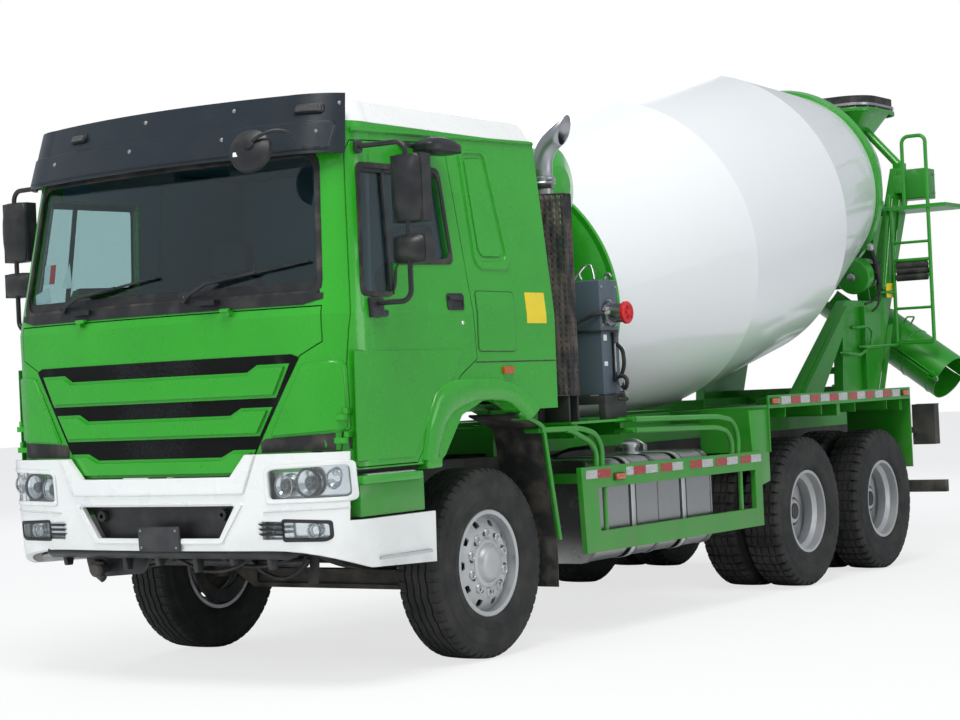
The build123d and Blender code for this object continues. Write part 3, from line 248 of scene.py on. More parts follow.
def paint(name, slot, colour, shade, gloss=0.26, coat=0.6, dust=0.35, dust_top=1.3, edge=0.006):
    """Sprayed paint: two close shades, dust low down, ripple, and rounded edges."""
    f = finish(name, slot)
    cloud = f.noise(1.7, 4)
    fine = f.noise(7, 2)
    low = f.ramp(f.axis("Z"), 0.25, dust_top, 1, 0)
    dirt = low * f.ramp(f.noise(6.5, 6), 0.34, 0.72) * dust
    tint = f.mix(f.ramp(cloud, 0.3, 0.7), colour, shade)
    ripple = f.bump(f.noise(6, 1), 0.001, 0.03, f.soft_edges(edge))
    return f.surface(Base_Color=f.mix(dirt, tint, DUST), Roughness=gloss + fine * 0.08 + dirt * 0.5,
        Coat_Weight=f.ramp(dirt, 0, 0.4, coat, 0), Coat_Roughness=0.06, Normal=ripple)


paint("green_paint", "green_paint", (0.022, 0.35, 0.012), (0.018, 0.31, 0.01), 0.24, 0.45)
paint("green_frame", "green_paint", (0.018, 0.29, 0.01), (0.013, 0.235, 0.008), 0.32, 0.3, 0.45, 1.5)
paint("white_paint", "white_paint", (0.82, 0.83, 0.82), (0.78, 0.79, 0.78), 0.24, 0.6, 0.5, 0.95)
paint("chassis_paint", "chassis_paint", (0.016, 0.017, 0.018), (0.024, 0.024, 0.024), 0.55, 0, 0.7, 1.5)
paint("grey_paint", "grey_paint", (0.074, 0.102, 0.132), (0.084, 0.112, 0.142), 0.4, 0.1, 0.15, 2.2)
print("paints", len(FINISHES))

# %% [markdown]
# The drum is the same white, but cleaner. Wet concrete leaves thin grey runs that start at its
# mouth and fade as they go down the cone, so its dirt is stretched along the drum.

# %% Drum paint
f = finish("drum_white", "white_paint")
streaks = f.noise(3.0, 6, 0.6, (7.0, 0.6, 1.2))
near_mouth = f.ramp(f.axis("Y"), 2.4, 3.6, 0, 1)
grime = near_mouth * f.ramp(streaks, 0.5, 0.78) * 0.45 + f.ramp(f.noise(1.1, 5), 0.45, 0.9) * 0.05
f.surface(Base_Color=f.mix(grime, (0.84, 0.85, 0.86), (0.42, 0.41, 0.38)), Roughness=0.22 + grime * 0.7,
    Coat_Weight=f.ramp(grime, 0, 0.3, 0.5, 0.05), Coat_Roughness=0.08,
    Normal=f.bump(f.noise(2.2, 2), 0.006, 0.18, f.soft_edges(0.006)))

# %% [markdown]
# ## Plastics and rubber
# Moulded plastic has a fine leather-like grain that scatters light, so its gloss is broad.
# Rubber is rougher still, nearly black, and browner where dust has been rubbed into it.

# %% Plastics and rubber
def plastic(name, slot, colour, rough, grain=900, depth=0.0003, dust=0.12):
    f = finish(name, slot)
    dirt = f.ramp(f.noise(9, 5), 0.45, 0.8) * dust
    bumps = f.bump(f.noise(grain, 2), depth, 0.35, f.soft_edges(0.004))
    return f.surface(Base_Color=f.mix(dirt, colour, DUST), Roughness=rough + f.noise(24, 3) * 0.12,
        Normal=bumps)


plastic("black_plastic", "black_plastic", (0.011, 0.012, 0.014), 0.36)
plastic("visor_plastic", "dark_trim", (0.011, 0.017, 0.024), 0.24, 700, 0.0002, 0.02)
plastic("dark_trim", "dark_trim", (0.06, 0.062, 0.068), 0.55)
plastic("pale_trim", "dark_trim", (0.3, 0.3, 0.29), 0.6)
plastic("mudguard_rubber", "black_plastic", (0.02, 0.02, 0.02), 0.6, 500, 0.0006, 0.5)
plastic("rubber", "rubber", (0.013, 0.013, 0.013), 0.55, 420, 0.0005, 0.3)
# the lining's blue is partly its own colour and partly a painted sky reflection, seen through the
# windscreen
plastic("lining_and_painted_reflection", "dark_trim", (0.15, 0.29, 0.37), 0.75, 900, 0.0002, 0.05)
plastic("seat_cloth", "dark_trim", (0.055, 0.058, 0.066), 0.85, 380, 0.0003, 0.1)

f = finish("tyre", "tyre")
scuff = f.ramp(f.noise(7, 6), 0.4, 0.75) * 0.45
f.surface(Base_Color=f.mix(scuff, (0.012, 0.012, 0.012), (0.06, 0.056, 0.05)),
    Roughness=0.68 + f.noise(40, 4) * 0.22, Normal=f.bump(f.noise(300, 4), 0.0008, 0.4))

# %% [markdown]
# ## Metals
# A rim is cast and painted silver, so it is dull, and brake dust darkens it in patches. The
# fuel tank is bare sheet aluminium: its brushed lines run round it, which is a noise squeezed
# hard along one axis.

# %% Metals
def metal(name, slot, colour, rough, metallic=1, stretch=(1, 1, 1), scale=60, dust=0.15, edge=0.003,
    grain=0.0006):
    f = finish(name, slot)
    dirt = f.ramp(f.noise(5, 6), 0.42, 0.8) * dust
    lines = f.noise(scale, 4, 0.6, stretch)
    return f.surface(Base_Color=f.mix(dirt, colour, DUST),
        Metallic=f.ramp(dirt, 0, 0.5, metallic, metallic * 0.3),
        Roughness=rough + lines * 0.16 + dirt * 0.4, Normal=f.bump(lines, grain, 0.25, f.soft_edges(edge)))


metal("silver_rim", "silver_rim", (0.5, 0.51, 0.52), 0.3, 0.55, scale=90, dust=0.35)
metal("hub_iron", "silver_rim", (0.045, 0.046, 0.048), 0.5, 0.5, scale=80, dust=0.35)
metal("chrome", "silver_rim", (0.8, 0.81, 0.82), 0.08, 1, dust=0.02)
metal("tank_aluminium", "aluminium", (0.36, 0.36, 0.36), 0.16, 1, (0.4, 26, 0.4), 22, 0.1, 0.002, 0.00004)
metal("tread_aluminium", "aluminium", (0.6, 0.61, 0.62), 0.3, 0.9, dust=0.4)
metal("stack_steel", "steel", (0.4, 0.41, 0.43), 0.3, 1, (1, 1, 0.3), 50, 0.1)
metal("worn_steel", "steel", (0.42, 0.42, 0.43), 0.3, 1, (1, 1, 6), 50, 0.2)
metal("cast_iron", "cast_iron", (0.04, 0.04, 0.042), 0.6, 0.4, scale=120, dust=0.5)

# the guard round the hot pipe: black steel, scorched to grey and brown in vertical patches
f = finish("scorched_steel", "steel")
burn = f.ramp(f.noise(9, 6, 0.65, (1, 1, 0.35)), 0.42, 0.66)
f.surface(Base_Color=f.mix(burn, (0.016, 0.016, 0.018), (0.145, 0.115, 0.095)), Metallic=0.4,
    Roughness=0.45 + burn * 0.3, Normal=f.bump(f.noise(120, 4), 0.0006, 0.4, f.soft_edges(0.003)))

# %% [markdown]
# ## Glass, lamps and markers
# A window both mirrors the sky and lets light through, and it mirrors more where one looks along
# it. Mixing a clear shader with a mirror-like one by the angle gives that. Layer Weight's Facing
# is used, not Fresnel: Fresnel turns the back face of a pane into a full mirror.

# %% Glass and lamps
def pane(name, slot, tint, strength=1, ripple=0):
    f = finish(name, slot)
    facing = f.node("ShaderNodeLayerWeight", None, {"Blend": 0.5}, out="Facing")
    edge_on = facing * facing
    gloss = edge_on * edge_on * facing * 0.9 + 0.045
    clear = f.node("ShaderNodeBsdfTransparent", None, {"Color": (*tint, 1)})
    normal = f.bump(f.noise(90, 1), 0.002, ripple)
    mirror = f.node("ShaderNodeBsdfPrincipled", None,
        {"Base Color": (0.9, 0.92, 0.92, 1), "Metallic": 1, "Roughness": 0.03, "Normal": normal})
    both = f.node("ShaderNodeMixShader", None, {0: gloss * strength, 1: clear, 2: mirror})
    f.node("ShaderNodeOutputMaterial", None, {"Surface": both})
    return f.material


pane("window_glass", "glass", (0.72, 0.82, 0.82), 1.3)
pane("lamp_glass", "lamp", (0.94, 0.96, 0.97), 1.3, 0.25)


def lens_colour(name, slot, colour, rough=0.12):
    """Moulded coloured plastic, ribbed inside so that it sparkles a little. Each rib cell is painted darker
    towards its edge: painted shade between the ribs.
    """
    f = finish(name, slot)
    ribs = f.node("ShaderNodeTexVoronoi", None, {"Vector": f.place(), "Scale": 160.0})
    deep = tuple(0.45 * c for c in colour)
    return f.surface(Base_Color=f.mix(f.ramp(ribs, 0.1, 0.6), colour, deep), Roughness=rough + ribs * 0.1,
        Coat_Weight=0.8, Normal=f.bump(ribs, 0.001, 0.3))


lens_colour("orange_lens", "lamp", (0.8, 0.16, 0.01))
lens_colour("red_lens", "lamp", (0.62, 0.02, 0.015))
lens_colour("white_lens", "lamp", (0.78, 0.78, 0.76))
lens_colour("smoked_lens", "lamp", (0.08, 0.08, 0.085))
plastic("red_cap", "lamp", (0.62, 0.015, 0.02), 0.25, 500, 0.0001, 0.02)
plastic("yellow_label", "lamp", (0.82, 0.62, 0.02), 0.4, 400, 0.0001, 0.1)
plastic("paper_label", "lamp", (0.74, 0.76, 0.76), 0.5, 400, 0.0001, 0.03)
plastic("blank_plate", "black_plastic", (0.024, 0.026, 0.031), 0.4, 400, 0.0002, 0.15)
print("finishes", len(FINISHES))


# %% Painting the CAD nodes
def coat(obj, name):
    """Gives an object one finish, and says which slot of the record that finish belongs to."""
    material, slot = FINISHES[name]
    obj.data.materials.clear()
    obj.data.materials.append(material)
    return slot


SLOT_FINISH = {"glass": "window_glass", "lamp": "lamp_glass", "aluminium": "tank_aluminium",
    "steel": "worn_steel"}
GREEN_STEEL = ("mixer_subframe", "front_stand", "rear_stand", "collector", "chute", "chute_swivel",
    "chute_extension", "ladder", "side_guards", "rear_mudguards")
NODE_FINISH = {"drum_shell": "drum_white", "sun_visor": "visor_plastic",
    "front_mudguards": "mudguard_rubber", **dict.fromkeys(GREEN_STEEL, "green_frame")}
for part in frame["record"]["subparts"]:
    node_name, slot = part["node"], part["material_slot"]
    coat(NODES[node_name], NODE_FINISH.get(node_name, SLOT_FINISH.get(slot, slot)))
print("painted", len(NODES), "nodes")


# %% [markdown]
# ## Floor, sky and light
# The floor and the background read as plain white to the camera, whatever light falls on them,
# while the object keeps its own shading and a soft shadow. Light Path tells a shader which kind
# of ray is asking. Four large soft lamps stand in for an open sky.

# %% Stage
def stage_white(name, shadow_keep):
    """White for the camera, darkened only where the truck shades it."""
    f = Finish(name)
    path = f.node("ShaderNodeLightPath", out="Is Camera Ray")
    plain = f.node("ShaderNodeBsdfDiffuse", None, {"Color": (0.8, 0.8, 0.8, 1)})
    glow = f.node("ShaderNodeEmission", None, {"Color": (1, 1, 1, 1), "Strength": 1})
    lit = f.node("ShaderNodeMixShader", None, {0: path * shadow_keep, 1: plain, 2: glow})
    f.node("ShaderNodeOutputMaterial", None, {"Surface": lit})
    return f.material


FLOOR_REACH, FLOOR_GAP, SHADOW_KEPT, SKY_STRENGTH = 60, 0.001, 0.72, 0.5
floor_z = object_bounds()[0][2] - FLOOR_GAP    # measured before the floor itself is there
floor_mesh = bpy.data.meshes.new("floor")
floor_mesh.from_pydata([(-FLOOR_REACH, -FLOOR_REACH, 0), (FLOOR_REACH, -FLOOR_REACH, 0),
        (FLOOR_REACH, FLOOR_REACH, 0), (-FLOOR_REACH, FLOOR_REACH, 0)], [], [(0, 1, 2, 3)])
floor_mesh.materials.append(stage_white("floor_white", SHADOW_KEPT))
floor = in_scene("floor", floor_mesh)
floor.location.z = floor_z

f = Finish("sky", bpy.data.worlds)
seen, through = (f.node("ShaderNodeLightPath", out=ray) for ray in ("Is Camera Ray", "Is Transmission Ray"))
plain = f.node("ShaderNodeMath", {"operation": "MAXIMUM"}, {0: seen, 1: through})
dim = f.node("ShaderNodeBackground", None, {"Color": (0.86, 0.93, 1, 1), "Strength": SKY_STRENGTH})
white = f.node("ShaderNodeBackground", None, {"Color": (1, 1, 1, 1), "Strength": 1})
f.node("ShaderNodeOutputWorld", None, {0: f.node("ShaderNodeMixShader", None,
            {0: plain, 1: dim, 2: white})})
bpy.context.scene.world = f.material


def soft_lamp(name, place, target, size, power, colour=(1, 1, 1)):
    """A round lamp that faces a target; wide lamps cast soft shadows."""
    light = bpy.data.lights.new(name, "AREA")
    light.shape = "DISK"
    light.size = size
    light.energy = power
    light.color = colour
    obj = in_scene(name, light)
    obj.location = place
    obj.rotation_euler = (Vector(target) - Vector(place)).to_track_quat("-Z", "Y").to_euler()
    return obj


soft_lamp("high_key", at(4, -5, 14), at(0, 2, 1.6), 8, 1600, (1, 0.985, 0.96))
front_fill = soft_lamp("front_fill", at(-3, -14, 6), at(0, 0, 1.5), 9, 640, (0.95, 0.98, 1))
front_fill.visible_glossy = False    # its disc would show whole in the windscreen
soft_lamp("side_fill", at(15, 5, 4), at(0, 3, 1.5), 8, 330, (0.97, 0.99, 1))
soft_lamp("back_glow", at(-9, 14, 9), at(0, 3, 2), 9, 700)
bpy.context.scene.view_settings.view_transform = "Standard"


# %% [markdown]
# ## Tools for making pieces
# Nearly every fitting on a lorry is one of a few forms: a pressed or moulded slab with rounded
# edges, a bent tube, something turned on a lathe, or a small thing repeated in a row. Each form
# gets one helper that makes the mesh, paints it, and lets it ride on the right body.

# %% Making and placing a mesh
MADE = []


def settle(name, mesh, look, body):
    """Puts a mesh in the scene, coats it, and lets it ride on a body."""
    obj = in_scene(name, mesh)
    coat(obj, look)
    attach(obj, body)
    MADE.append(obj)
    return obj


def piece(name, shape, look, body="chassis", smooth_angle=35, bevel=0, segments=2):
    """One shape, or a list of shapes, as a finished object; a shape is (points, faces)."""
    verts, faces = shell_of(shape) if isinstance(shape, list) else shape
    mesh = bpy.data.meshes.new(name)
    mesh.from_pydata([tuple(v) for v in verts], [], faces)
    work = bmesh.new()
    work.from_mesh(mesh)
    bmesh.ops.remove_doubles(work, verts=work.verts, dist=1e-5)
    bmesh.ops.recalc_face_normals(work, faces=work.faces)
    if bevel:
        sharp = [e for e in work.edges if len(e.link_faces) == 2 and e.calc_face_angle(0) > 0.5]
        bmesh.ops.bevel(work, geom=sharp, offset=bevel, segments=segments, affect="EDGES", profile=0.5,
            clamp_overlap=True)
    work.to_mesh(mesh)
    work.free()
    mesh.shade_smooth()
    mesh.set_sharp_from_angle(angle=radians(smooth_angle))
    return settle(name, mesh, look, body)


def shell_of(parts):
    """Joins several (verts, faces) lists into one."""
    verts, faces = [], []
    for part_verts, part_faces in parts:
        base = len(verts)
        verts += list(part_verts)
        faces += [tuple(i + base for i in face) for face in part_faces]
    return verts, faces


def slab(outline, depth, place):
    """A polygon given in two directions, pushed along a third; place(u, v, w) gives the point."""
    n = len(outline)
    verts = [place(u, v, w) for w in (0, depth) for u, v in outline]
    faces = [tuple(range(n))[::-1], tuple(range(n, 2 * n))]
    faces += [(i, (i + 1) % n, (i + 1) % n + n, i + n) for i in range(n)]
    return verts, faces


def block(low, high):
    """A rectangular solid between two corners."""
    (x0, y0, z0), (x1, y1, z1) = low, high
    return slab([(x0, y0), (x1, y0), (x1, y1), (x0, y1)], z1 - z0, lambda u, v, w: Vector((u, v, z0 + w)))


def box(x0, x1, y0, y1, z0, z1):
    """A rectangular solid from three ranges; the two across the truck come in either order."""
    x0, x1 = sorted((x0, x1))
    return block(at(x0, y0, z0), at(x1, y1, z1))


def side_plate(outline, x0, x1):
    """A plate drawn as seen from the side, (y, z), between two places across the truck."""
    low, high = sorted((x0, x1))
    return slab(outline, high - low, lambda u, v, w: at(low + w, u, v))


def cross_plate(outline, y0, y1):
    """A plate drawn as seen from the front, (x, z), between two places along the truck."""
    return slab(outline, y1 - y0, lambda u, v, w: at(u, y0 + w, v))


def corner(before, here, after, radius, most, steps):
    """Points that round a corner off; the rounding takes at most a share of either edge."""
    r = min(radius, (before - here).length * most, (after - here).length * most)
    a = here + (before - here).normalized() * r
    b = here + (after - here).normalized() * r
    return [a * (1 - t) ** 2 + here * 2 * t * (1 - t) + b * t * t
        for t in (k / steps for k in range(steps + 1))]


def rounded(points, radius, steps=4):
    """A closed outline with its corners rounded."""
    made = []
    count = len(points)
    for i in range(count):
        here, before, after = (Vector(points[k]) for k in (i, i - 1, (i + 1) % count))
        made += [tuple(p) for p in corner(before, here, after, radius, 0.45, steps)]
    return made


def net(rows, n, closed=True):
    """Faces between rows of n points, each row a loop; closed joins the last row to the first."""
    return [(k * n + i, k * n + (i + 1) % n, (k + 1) % rows * n + (i + 1) % n, (k + 1) % rows * n + i)
        for k in range(rows if closed else rows - 1) for i in range(n)]


def frames_along(path):
    """A pair of cross directions at each point of a path, carried along without twist."""
    tangents = []
    for i in range(len(path)):
        step = path[min(i + 1, len(path) - 1)] - path[max(i - 1, 0)]
        tangents.append(step.normalized())
    side = tangents[0].orthogonal().normalized()
    frames = []
    for t in tangents:
        side = (side - t * side.dot(t)).normalized()
        frames.append((side, t.cross(side)))
    return frames


def bent(points, radius, steps=5):
    """An open route with its corners rounded."""
    points = [Vector(p) for p in points]
    made = [points[0]]
    for before, here, after in zip(points, points[1:], points[2:]):
        made += corner(before, here, after, radius, 0.48, steps)
    return made + [points[-1]]


def tube(points, radius, bend=0.04, sides=12, caps=True):
    """A round bar along a route; radius may be a list, one for each point of a plain route."""
    path = bent(points, bend) if bend else [Vector(p) for p in points]
    verts = []
    for i, (p, (a, b)) in enumerate(zip(path, frames_along(path))):
        r = radius[i] if isinstance(radius, list) else radius
        verts += [p + (a * cos(t) + b * sin(t)) * r for t in (2 * pi * k / sides for k in range(sides))]
    faces = net(len(path), sides, closed=False)
    if caps:
        faces += [tuple(range(sides))[::-1], tuple(range(len(verts) - sides, len(verts)))]
    return verts, faces


def bar(points, radius, bend=0.04, sides=12):
    """A tube whose points are given from the front axle."""
    return tube([at(*p) for p in points], radius, bend, sides)


def lathe(outline, centre, axis, sides=48):
    """An outline of (distance along axis, radius) turned about an axis."""
    axis = Vector(axis).normalized()
    a = axis.orthogonal().normalized()
    b = axis.cross(a)
    centre = Vector(centre)
    verts = [centre + axis * s + (a * cos(t) + b * sin(t)) * r
        for t in (2 * pi * k / sides for k in range(sides)) for s, r in outline]
    return verts, net(sides, len(outline))


def ring_bolts(centre, axis, circle, count, radius, height, turn=0, sides=6):
    """A circle of bolt heads or nuts."""
    axis = Vector(axis).normalized()
    a = axis.orthogonal().normalized()
    b = axis.cross(a)
    heads = []
    for k in range(count):
        t = turn + 2 * pi * k / count
        foot = Vector(centre) + (a * cos(t) + b * sin(t)) * circle
        heads.append(tube([foot, foot + axis * height * 0.8, foot + axis * height],
                [radius, radius, radius * 0.72], bend=0, sides=sides))
    return shell_of(heads)


def bolt(spot, axis, radius, height):
    """One bolt head."""
    return ring_bolts(spot, axis, 0, 1, radius, height)


def grown(low, high, radius, by):
    """A rectangle with rounded corners, grown by a distance."""
    (u0, v0), (u1, v1) = low, high
    return rounded([(u0 - by, v0 - by), (u1 + by, v0 - by), (u1 + by, v1 + by), (u0 - by, v1 + by)],
        radius + by, 10)


def band(section, out, thick, ends, place):
    """A strap round a section; section(by) draws it grown by a distance."""
    outer, inner = section(out + thick), section(out)
    n = len(outer)
    verts = [place(u, v, w) for w in ends for ring in (outer, inner) for u, v in ring]
    faces = []
    for i in range(n):
        j = (i + 1) % n
        faces += [(i, j, n + j, n + i), (2 * n + i, 2 * n + j, 3 * n + j, 3 * n + i),
            (i, j, 2 * n + j, 2 * n + i), (n + i, n + j, 3 * n + j, 3 * n + i)]
    return verts, faces


print("helpers ready")


# %% [markdown]
# ## Tyres
# A tyre is a ring with the same cross-section all round, and its tread is that ring with
# grooves pressed in. So the section is turned in small steps, and each step says whether it
# lies in a cross groove. Steering tyres have long ribs with small notches at the shoulder;
# driving tyres have deep cross grooves that cut the tread into lugs.

# %% Tyres
TYRE_HALF_WIDTH = 0.15
TREAD_HALF = 0.116
GROOVE_DEPTH = 0.013
RIBS = dict(pitches=56, circles=(0.022, 0.069), wave=0.0025, cross_mid=0, cross_edge=0.008, edge_from=0.098)
LUGS = dict(pitches=44, circles=(0.03, 0.076), wave=0.0045, cross_mid=0.008, cross_edge=0.015,
    edge_from=0.07)


def tyre(centre_x, y, tread):
    """One tyre with its axis along X."""
    half = [(0, "mid")]
    for middle in tread["circles"]:
        half += [(middle - 0.006, "mid"), (middle - 0.004, "groove"), (middle + 0.004, "groove"),
            (middle + 0.006, "mid")]
    half += [(0.104, "edge"), (TREAD_HALF, "edge")]
    wall = [(0.13, TYRE_R - 0.016, "edge"), (0.136, TYRE_R - 0.03, "edge"), (0.139, TYRE_R - 0.05, "wall"),
        (0.1445, TYRE_R - 0.078, "wall"), (0.1475, TYRE_R - 0.082, "wall"), (0.15, 0.41, "wall"),
        (0.148, 0.372, "wall"), (0.15, 0.368, "wall"), (0.148, 0.34, "wall"), (0.14, 0.318, "wall"),
        (0.128, 0.306, "wall"), (0.119, 0.3, "wall"), (0.118, 0.286, "wall")]
    right = [(x, TYRE_R - 0.004 * (x / TREAD_HALF) ** 2, kind) for x, kind in half] + wall
    section = [(-x, r, kind) for x, r, kind in right[:0:-1]] + right
    steps = [(0, 0), (0.34, 0), (0.68, 0), (0.73, 1), (0.95, 1)]
    verts = []
    count = tread["pitches"] * len(steps)
    for k in range(count):
        share, cut = steps[k % len(steps)]
        angle = 2 * pi * (k // len(steps) + share) / tread["pitches"]
        swing = tread["wave"] * (1 if (k // len(steps)) % 2 else -1)
        for x, r, kind in section:
            sideways = x
            if kind == "groove":
                r -= GROOVE_DEPTH
            if kind in ("groove", "mid") and abs(x) > 0.01:
                sideways = x + swing
            if cut and kind == "mid":
                r -= tread["cross_edge"] if abs(x) > tread["edge_from"] else tread["cross_mid"]
            if cut and kind == "edge":
                r -= tread["cross_edge"] * (1 if abs(x) < 0.132 else 0.35)
            verts.append(Vector((centre_x + sideways, y + r * cos(angle), AXLE_Z + r * sin(angle))))
    return verts, net(count, len(section))


def middle_of(node):
    low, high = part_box(node)
    return (low + high) / 2


for side_name, side in SIDES:
    node = f"front_tyre_{side_name}"
    made = piece(node + "_tread", tyre(middle_of(node).x, middle_of(node).y, RIBS), "tyre",
        f"front_wheel_{side_name}", smooth_angle=28)
    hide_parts(node)
    for axle in (1, 2):
        node = f"rear_tyres_{axle}_{side_name}"
        low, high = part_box(node)
        pair = [tyre(x, middle_of(node).y, LUGS)
            for x in (low.x + TYRE_HALF_WIDTH, high.x - TYRE_HALF_WIDTH)]
        made = piece(node + "_tread", pair, "tyre", f"rear_wheels_{axle}_{side_name}", smooth_angle=28)
        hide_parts(node)
print("tyres, faces each", len(MADE[0].data.polygons))

# %% [markdown]
# ## Hubs and nuts
# The front wheels wear a pressed silver cover: each nut sits in its own round recess, so it
# reads as a dark dot in a bright ring. The rear hubs are bare iron with a ring of nuts, deep
# inside the rims.

# %% Wheel nuts and hub caps
COVER_OUT = 0.118
NUT_COUNT, NUT_CIRCLE = 10, 0.1675
for side_name, side in SIDES:
    hub = Vector((middle_of(f"front_tyre_{side_name}").x, FRONT_AXLE_Y, AXLE_Z))
    out = Vector((side, 0, 0))
    face = hub + out * COVER_OUT
    body = f"front_wheel_{side_name}"
    rings = []
    for k in range(NUT_COUNT):
        angle = 2 * pi * (k + 0.5) / NUT_COUNT
        spot = face + Vector((0, cos(angle), sin(angle))) * NUT_CIRCLE
        rings.append(lathe([(-0.002, 0.015), (0.006, 0.016), (0.01, 0.019), (0.01, 0.024), (0.004, 0.029),
                    (-0.002, 0.03)], spot, out, 20))
    piece(f"nut_rings_{side_name}", rings, "silver_rim", body)
    piece(f"front_nuts_{side_name}", ring_bolts(face + out * 0.0005, out, NUT_CIRCLE, NUT_COUNT, 0.0145,
            0.006, pi / NUT_COUNT), "hub_iron", body)
    cover = [(0.0005, 0.14), (0.004, 0.137), (0.006, 0.132), (0.008, 0.112), (0.004, 0.108), (0.012, 0.1),
        (0.026, 0.094), (0.034, 0.084), (0.038, 0.06), (0.0385, 0.03), (0.0385, 0)]
    piece(f"hub_cap_{side_name}", lathe(cover + [(0.0005, 0)], face, out, 64), "silver_rim", body)
    piece(f"rim_lip_{side_name}", lathe([(0.121, 0.2995), (0.126, 0.304), (0.1295, 0.299), (0.127, 0.277),
                (0.118, 0.276)], hub, out, 72), "silver_rim", body)
    for axle in (1, 2):
        tyres = f"rear_tyres_{axle}_{side_name}"
        twin = middle_of(tyres)
        twin.z = AXLE_Z
        body = f"rear_wheels_{axle}_{side_name}"
        nuts = ring_bolts(twin + out * 0.012, out, NUT_CIRCLE, NUT_COUNT, 0.02, 0.038)
        caps = ring_bolts(twin + out * 0.17, out, 0.088, 8, 0.009, 0.01)
        hub_face = lathe([(0.168, 0), (0.168, 0.103), (0.178, 0.103), (0.182, 0.098), (0.182, 0.062),
                (0.196, 0.056), (0.199, 0.04), (0.199, 0)], twin, out, 40)
        hub_rib = lathe([(0.006, 0.112), (0.006, 0.132), (0.03, 0.13), (0.034, 0.112)], twin, out, 48)
        piece(f"rear_nuts_{axle}_{side_name}", [nuts, caps], "hub_iron", body)
        piece(f"hub_face_{axle}_{side_name}", [hub_face, hub_rib], "hub_iron", body)
print("hubs done", len(MADE), "pieces so far")


# %% [markdown]
# ## Following the cab's surface
# The cab's front is bowed and its sides lean in, so trim can't be flat. A trim piece is drawn
# flat, bevelled, and cut into narrow strips; then each of its points is carried onto the cab's
# surface, which is worked out from the same plan curve that the cab has at every height.

# %% The cab's surface
WAIST_Z = 1.95
CAB_PLANS = ((1.14, 1.225, -1.462), (WAIST_Z, 1.232, -1.47), (2.97, 1.13, -1.305))
BUMPER_PLANS = ((0.61, 1.235, -1.495), (1.24, 1.248, -1.53))
VISOR_PLANS = ((2.79, 1.168, -1.48), (3.1143, 1.15, -1.38))
CORNERS = {CAB_PLANS: ((0, 0.36), (0.045, 0.17), (0.17, 0.09)),
    VISOR_PLANS: ((0, 0.48), (0.066, 0.23), (0.29, 0.11))}


def plan_at(plans, z):
    """Half width and front of a body at a height."""
    for (z0, half0, front0), (z1, half1, front1) in zip(plans, plans[1:]):
        if z <= z1 or (z1, half1, front1) == plans[-1]:
            t = (z - z0) / (z1 - z0)
            return half0 + t * (half1 - half0), front0 + t * (front1 - front0)


def circle_through(a, b, c):
    """Centre and radius of the circle through three points of a plane."""
    ax, ay, bx, by, cx, cy = *a, *b, *c
    d = 2 * (ax * (by - cy) + bx * (cy - ay) + cx * (ay - by))
    sa, sb, sc = ax * ax + ay * ay, bx * bx + by * by, cx * cx + cy * cy
    ux = (sa * (by - cy) + sb * (cy - ay) + sc * (ay - by)) / d
    uy = (sa * (cx - bx) + sb * (ax - cx) + sc * (bx - ax)) / d
    return ux, uy, hypot(ax - ux, ay - uy)


def front_y(x, z, plans):
    """How far forward the body's surface is at an x and a height, from the front axle."""
    half, front = plan_at(plans, z)
    reach = abs(x)
    start, middle, end = CORNERS.get(plans, CORNERS[CAB_PLANS])
    if reach <= half - end[0]:
        ux, uy, r = circle_through((-(half - end[0]), front + end[1]), (0, front),
            (half - end[0], front + end[1]))
        return uy - sqrt(r * r - (reach - ux) ** 2)
    ux, uy, r = circle_through(*((half - inward, front + back) for inward, back in (start, middle, end)))
    return uy - sqrt(max(r * r - (min(reach, half) - ux) ** 2, 0))


def on_front(plans=CAB_PLANS, lift=0):
    """Carries a flat drawing, x across and z up, onto the bowed front."""
    def place(u, v, w):
        return at(u, front_y(u, v, plans) - w - lift, v)
    return place


def on_side(side, lift=0):
    """Carries a flat drawing, y along and z up, onto the leaning side."""
    def place(u, v, w):
        return at(side * (plan_at(CAB_PLANS, v)[0] + w + lift), u, v)
    return place


def trim(name, outline, depth, place, look, body="chassis", bevel=0.004, step=0.07, holes=(), segments=2):
    """A flat outline made solid, bevelled and carried onto a curved surface."""
    work = bmesh.new()
    edges = []
    for loop in (outline, *holes):
        corners = [work.verts.new((u, v, 0)) for u, v in loop]
        edges += [work.edges.new((a, b)) for a, b in zip(corners, corners[1:] + corners[:1])]
    bmesh.ops.triangle_fill(work, use_beauty=True, edges=edges)
    bmesh.ops.dissolve_limit(work, angle_limit=0.01, verts=work.verts, edges=work.edges)
    pushed = bmesh.ops.extrude_face_region(work, geom=list(work.faces))
    bmesh.ops.translate(work, vec=(0, 0, depth),
        verts=[g for g in pushed["geom"] if isinstance(g, bmesh.types.BMVert)])
    bmesh.ops.recalc_face_normals(work, faces=work.faces)
    if bevel:
        rim = [e for e in work.edges if e.calc_face_angle(0) > 0.5
            and all(v.co.z > depth / 2 for v in e.verts)]
        bmesh.ops.bevel(work, geom=rim, offset=bevel, segments=segments, affect="EDGES", clamp_overlap=True)
    low = min(v.co.x for v in work.verts)
    high = max(v.co.x for v in work.verts)
    for k in range(math.floor(low / step) + 1, math.ceil(high / step)):
        bmesh.ops.bisect_plane(work, geom=work.verts[:] + work.edges[:] + work.faces[:],
            plane_co=(k * step, 0, 0), plane_no=(1, 0, 0), dist=1e-5)
    if min(v.co.y for v in work.verts) < WAIST_Z < max(v.co.y for v in work.verts):
        bmesh.ops.bisect_plane(work, geom=work.verts[:] + work.edges[:] + work.faces[:],
            plane_co=(0, WAIST_Z, 0), plane_no=(0, 1, 0), dist=1e-5)
    work.verts.index_update()
    verts = [place(v.co.x, v.co.y, v.co.z) for v in work.verts]
    faces = [tuple(v.index for v in f.verts) for f in work.faces]
    work.free()
    return piece(name, (verts, faces), look, body)


def mirrored(points):
    """The same outline on the other side of the middle."""
    return [(-x, z) for x, z in points][::-1]


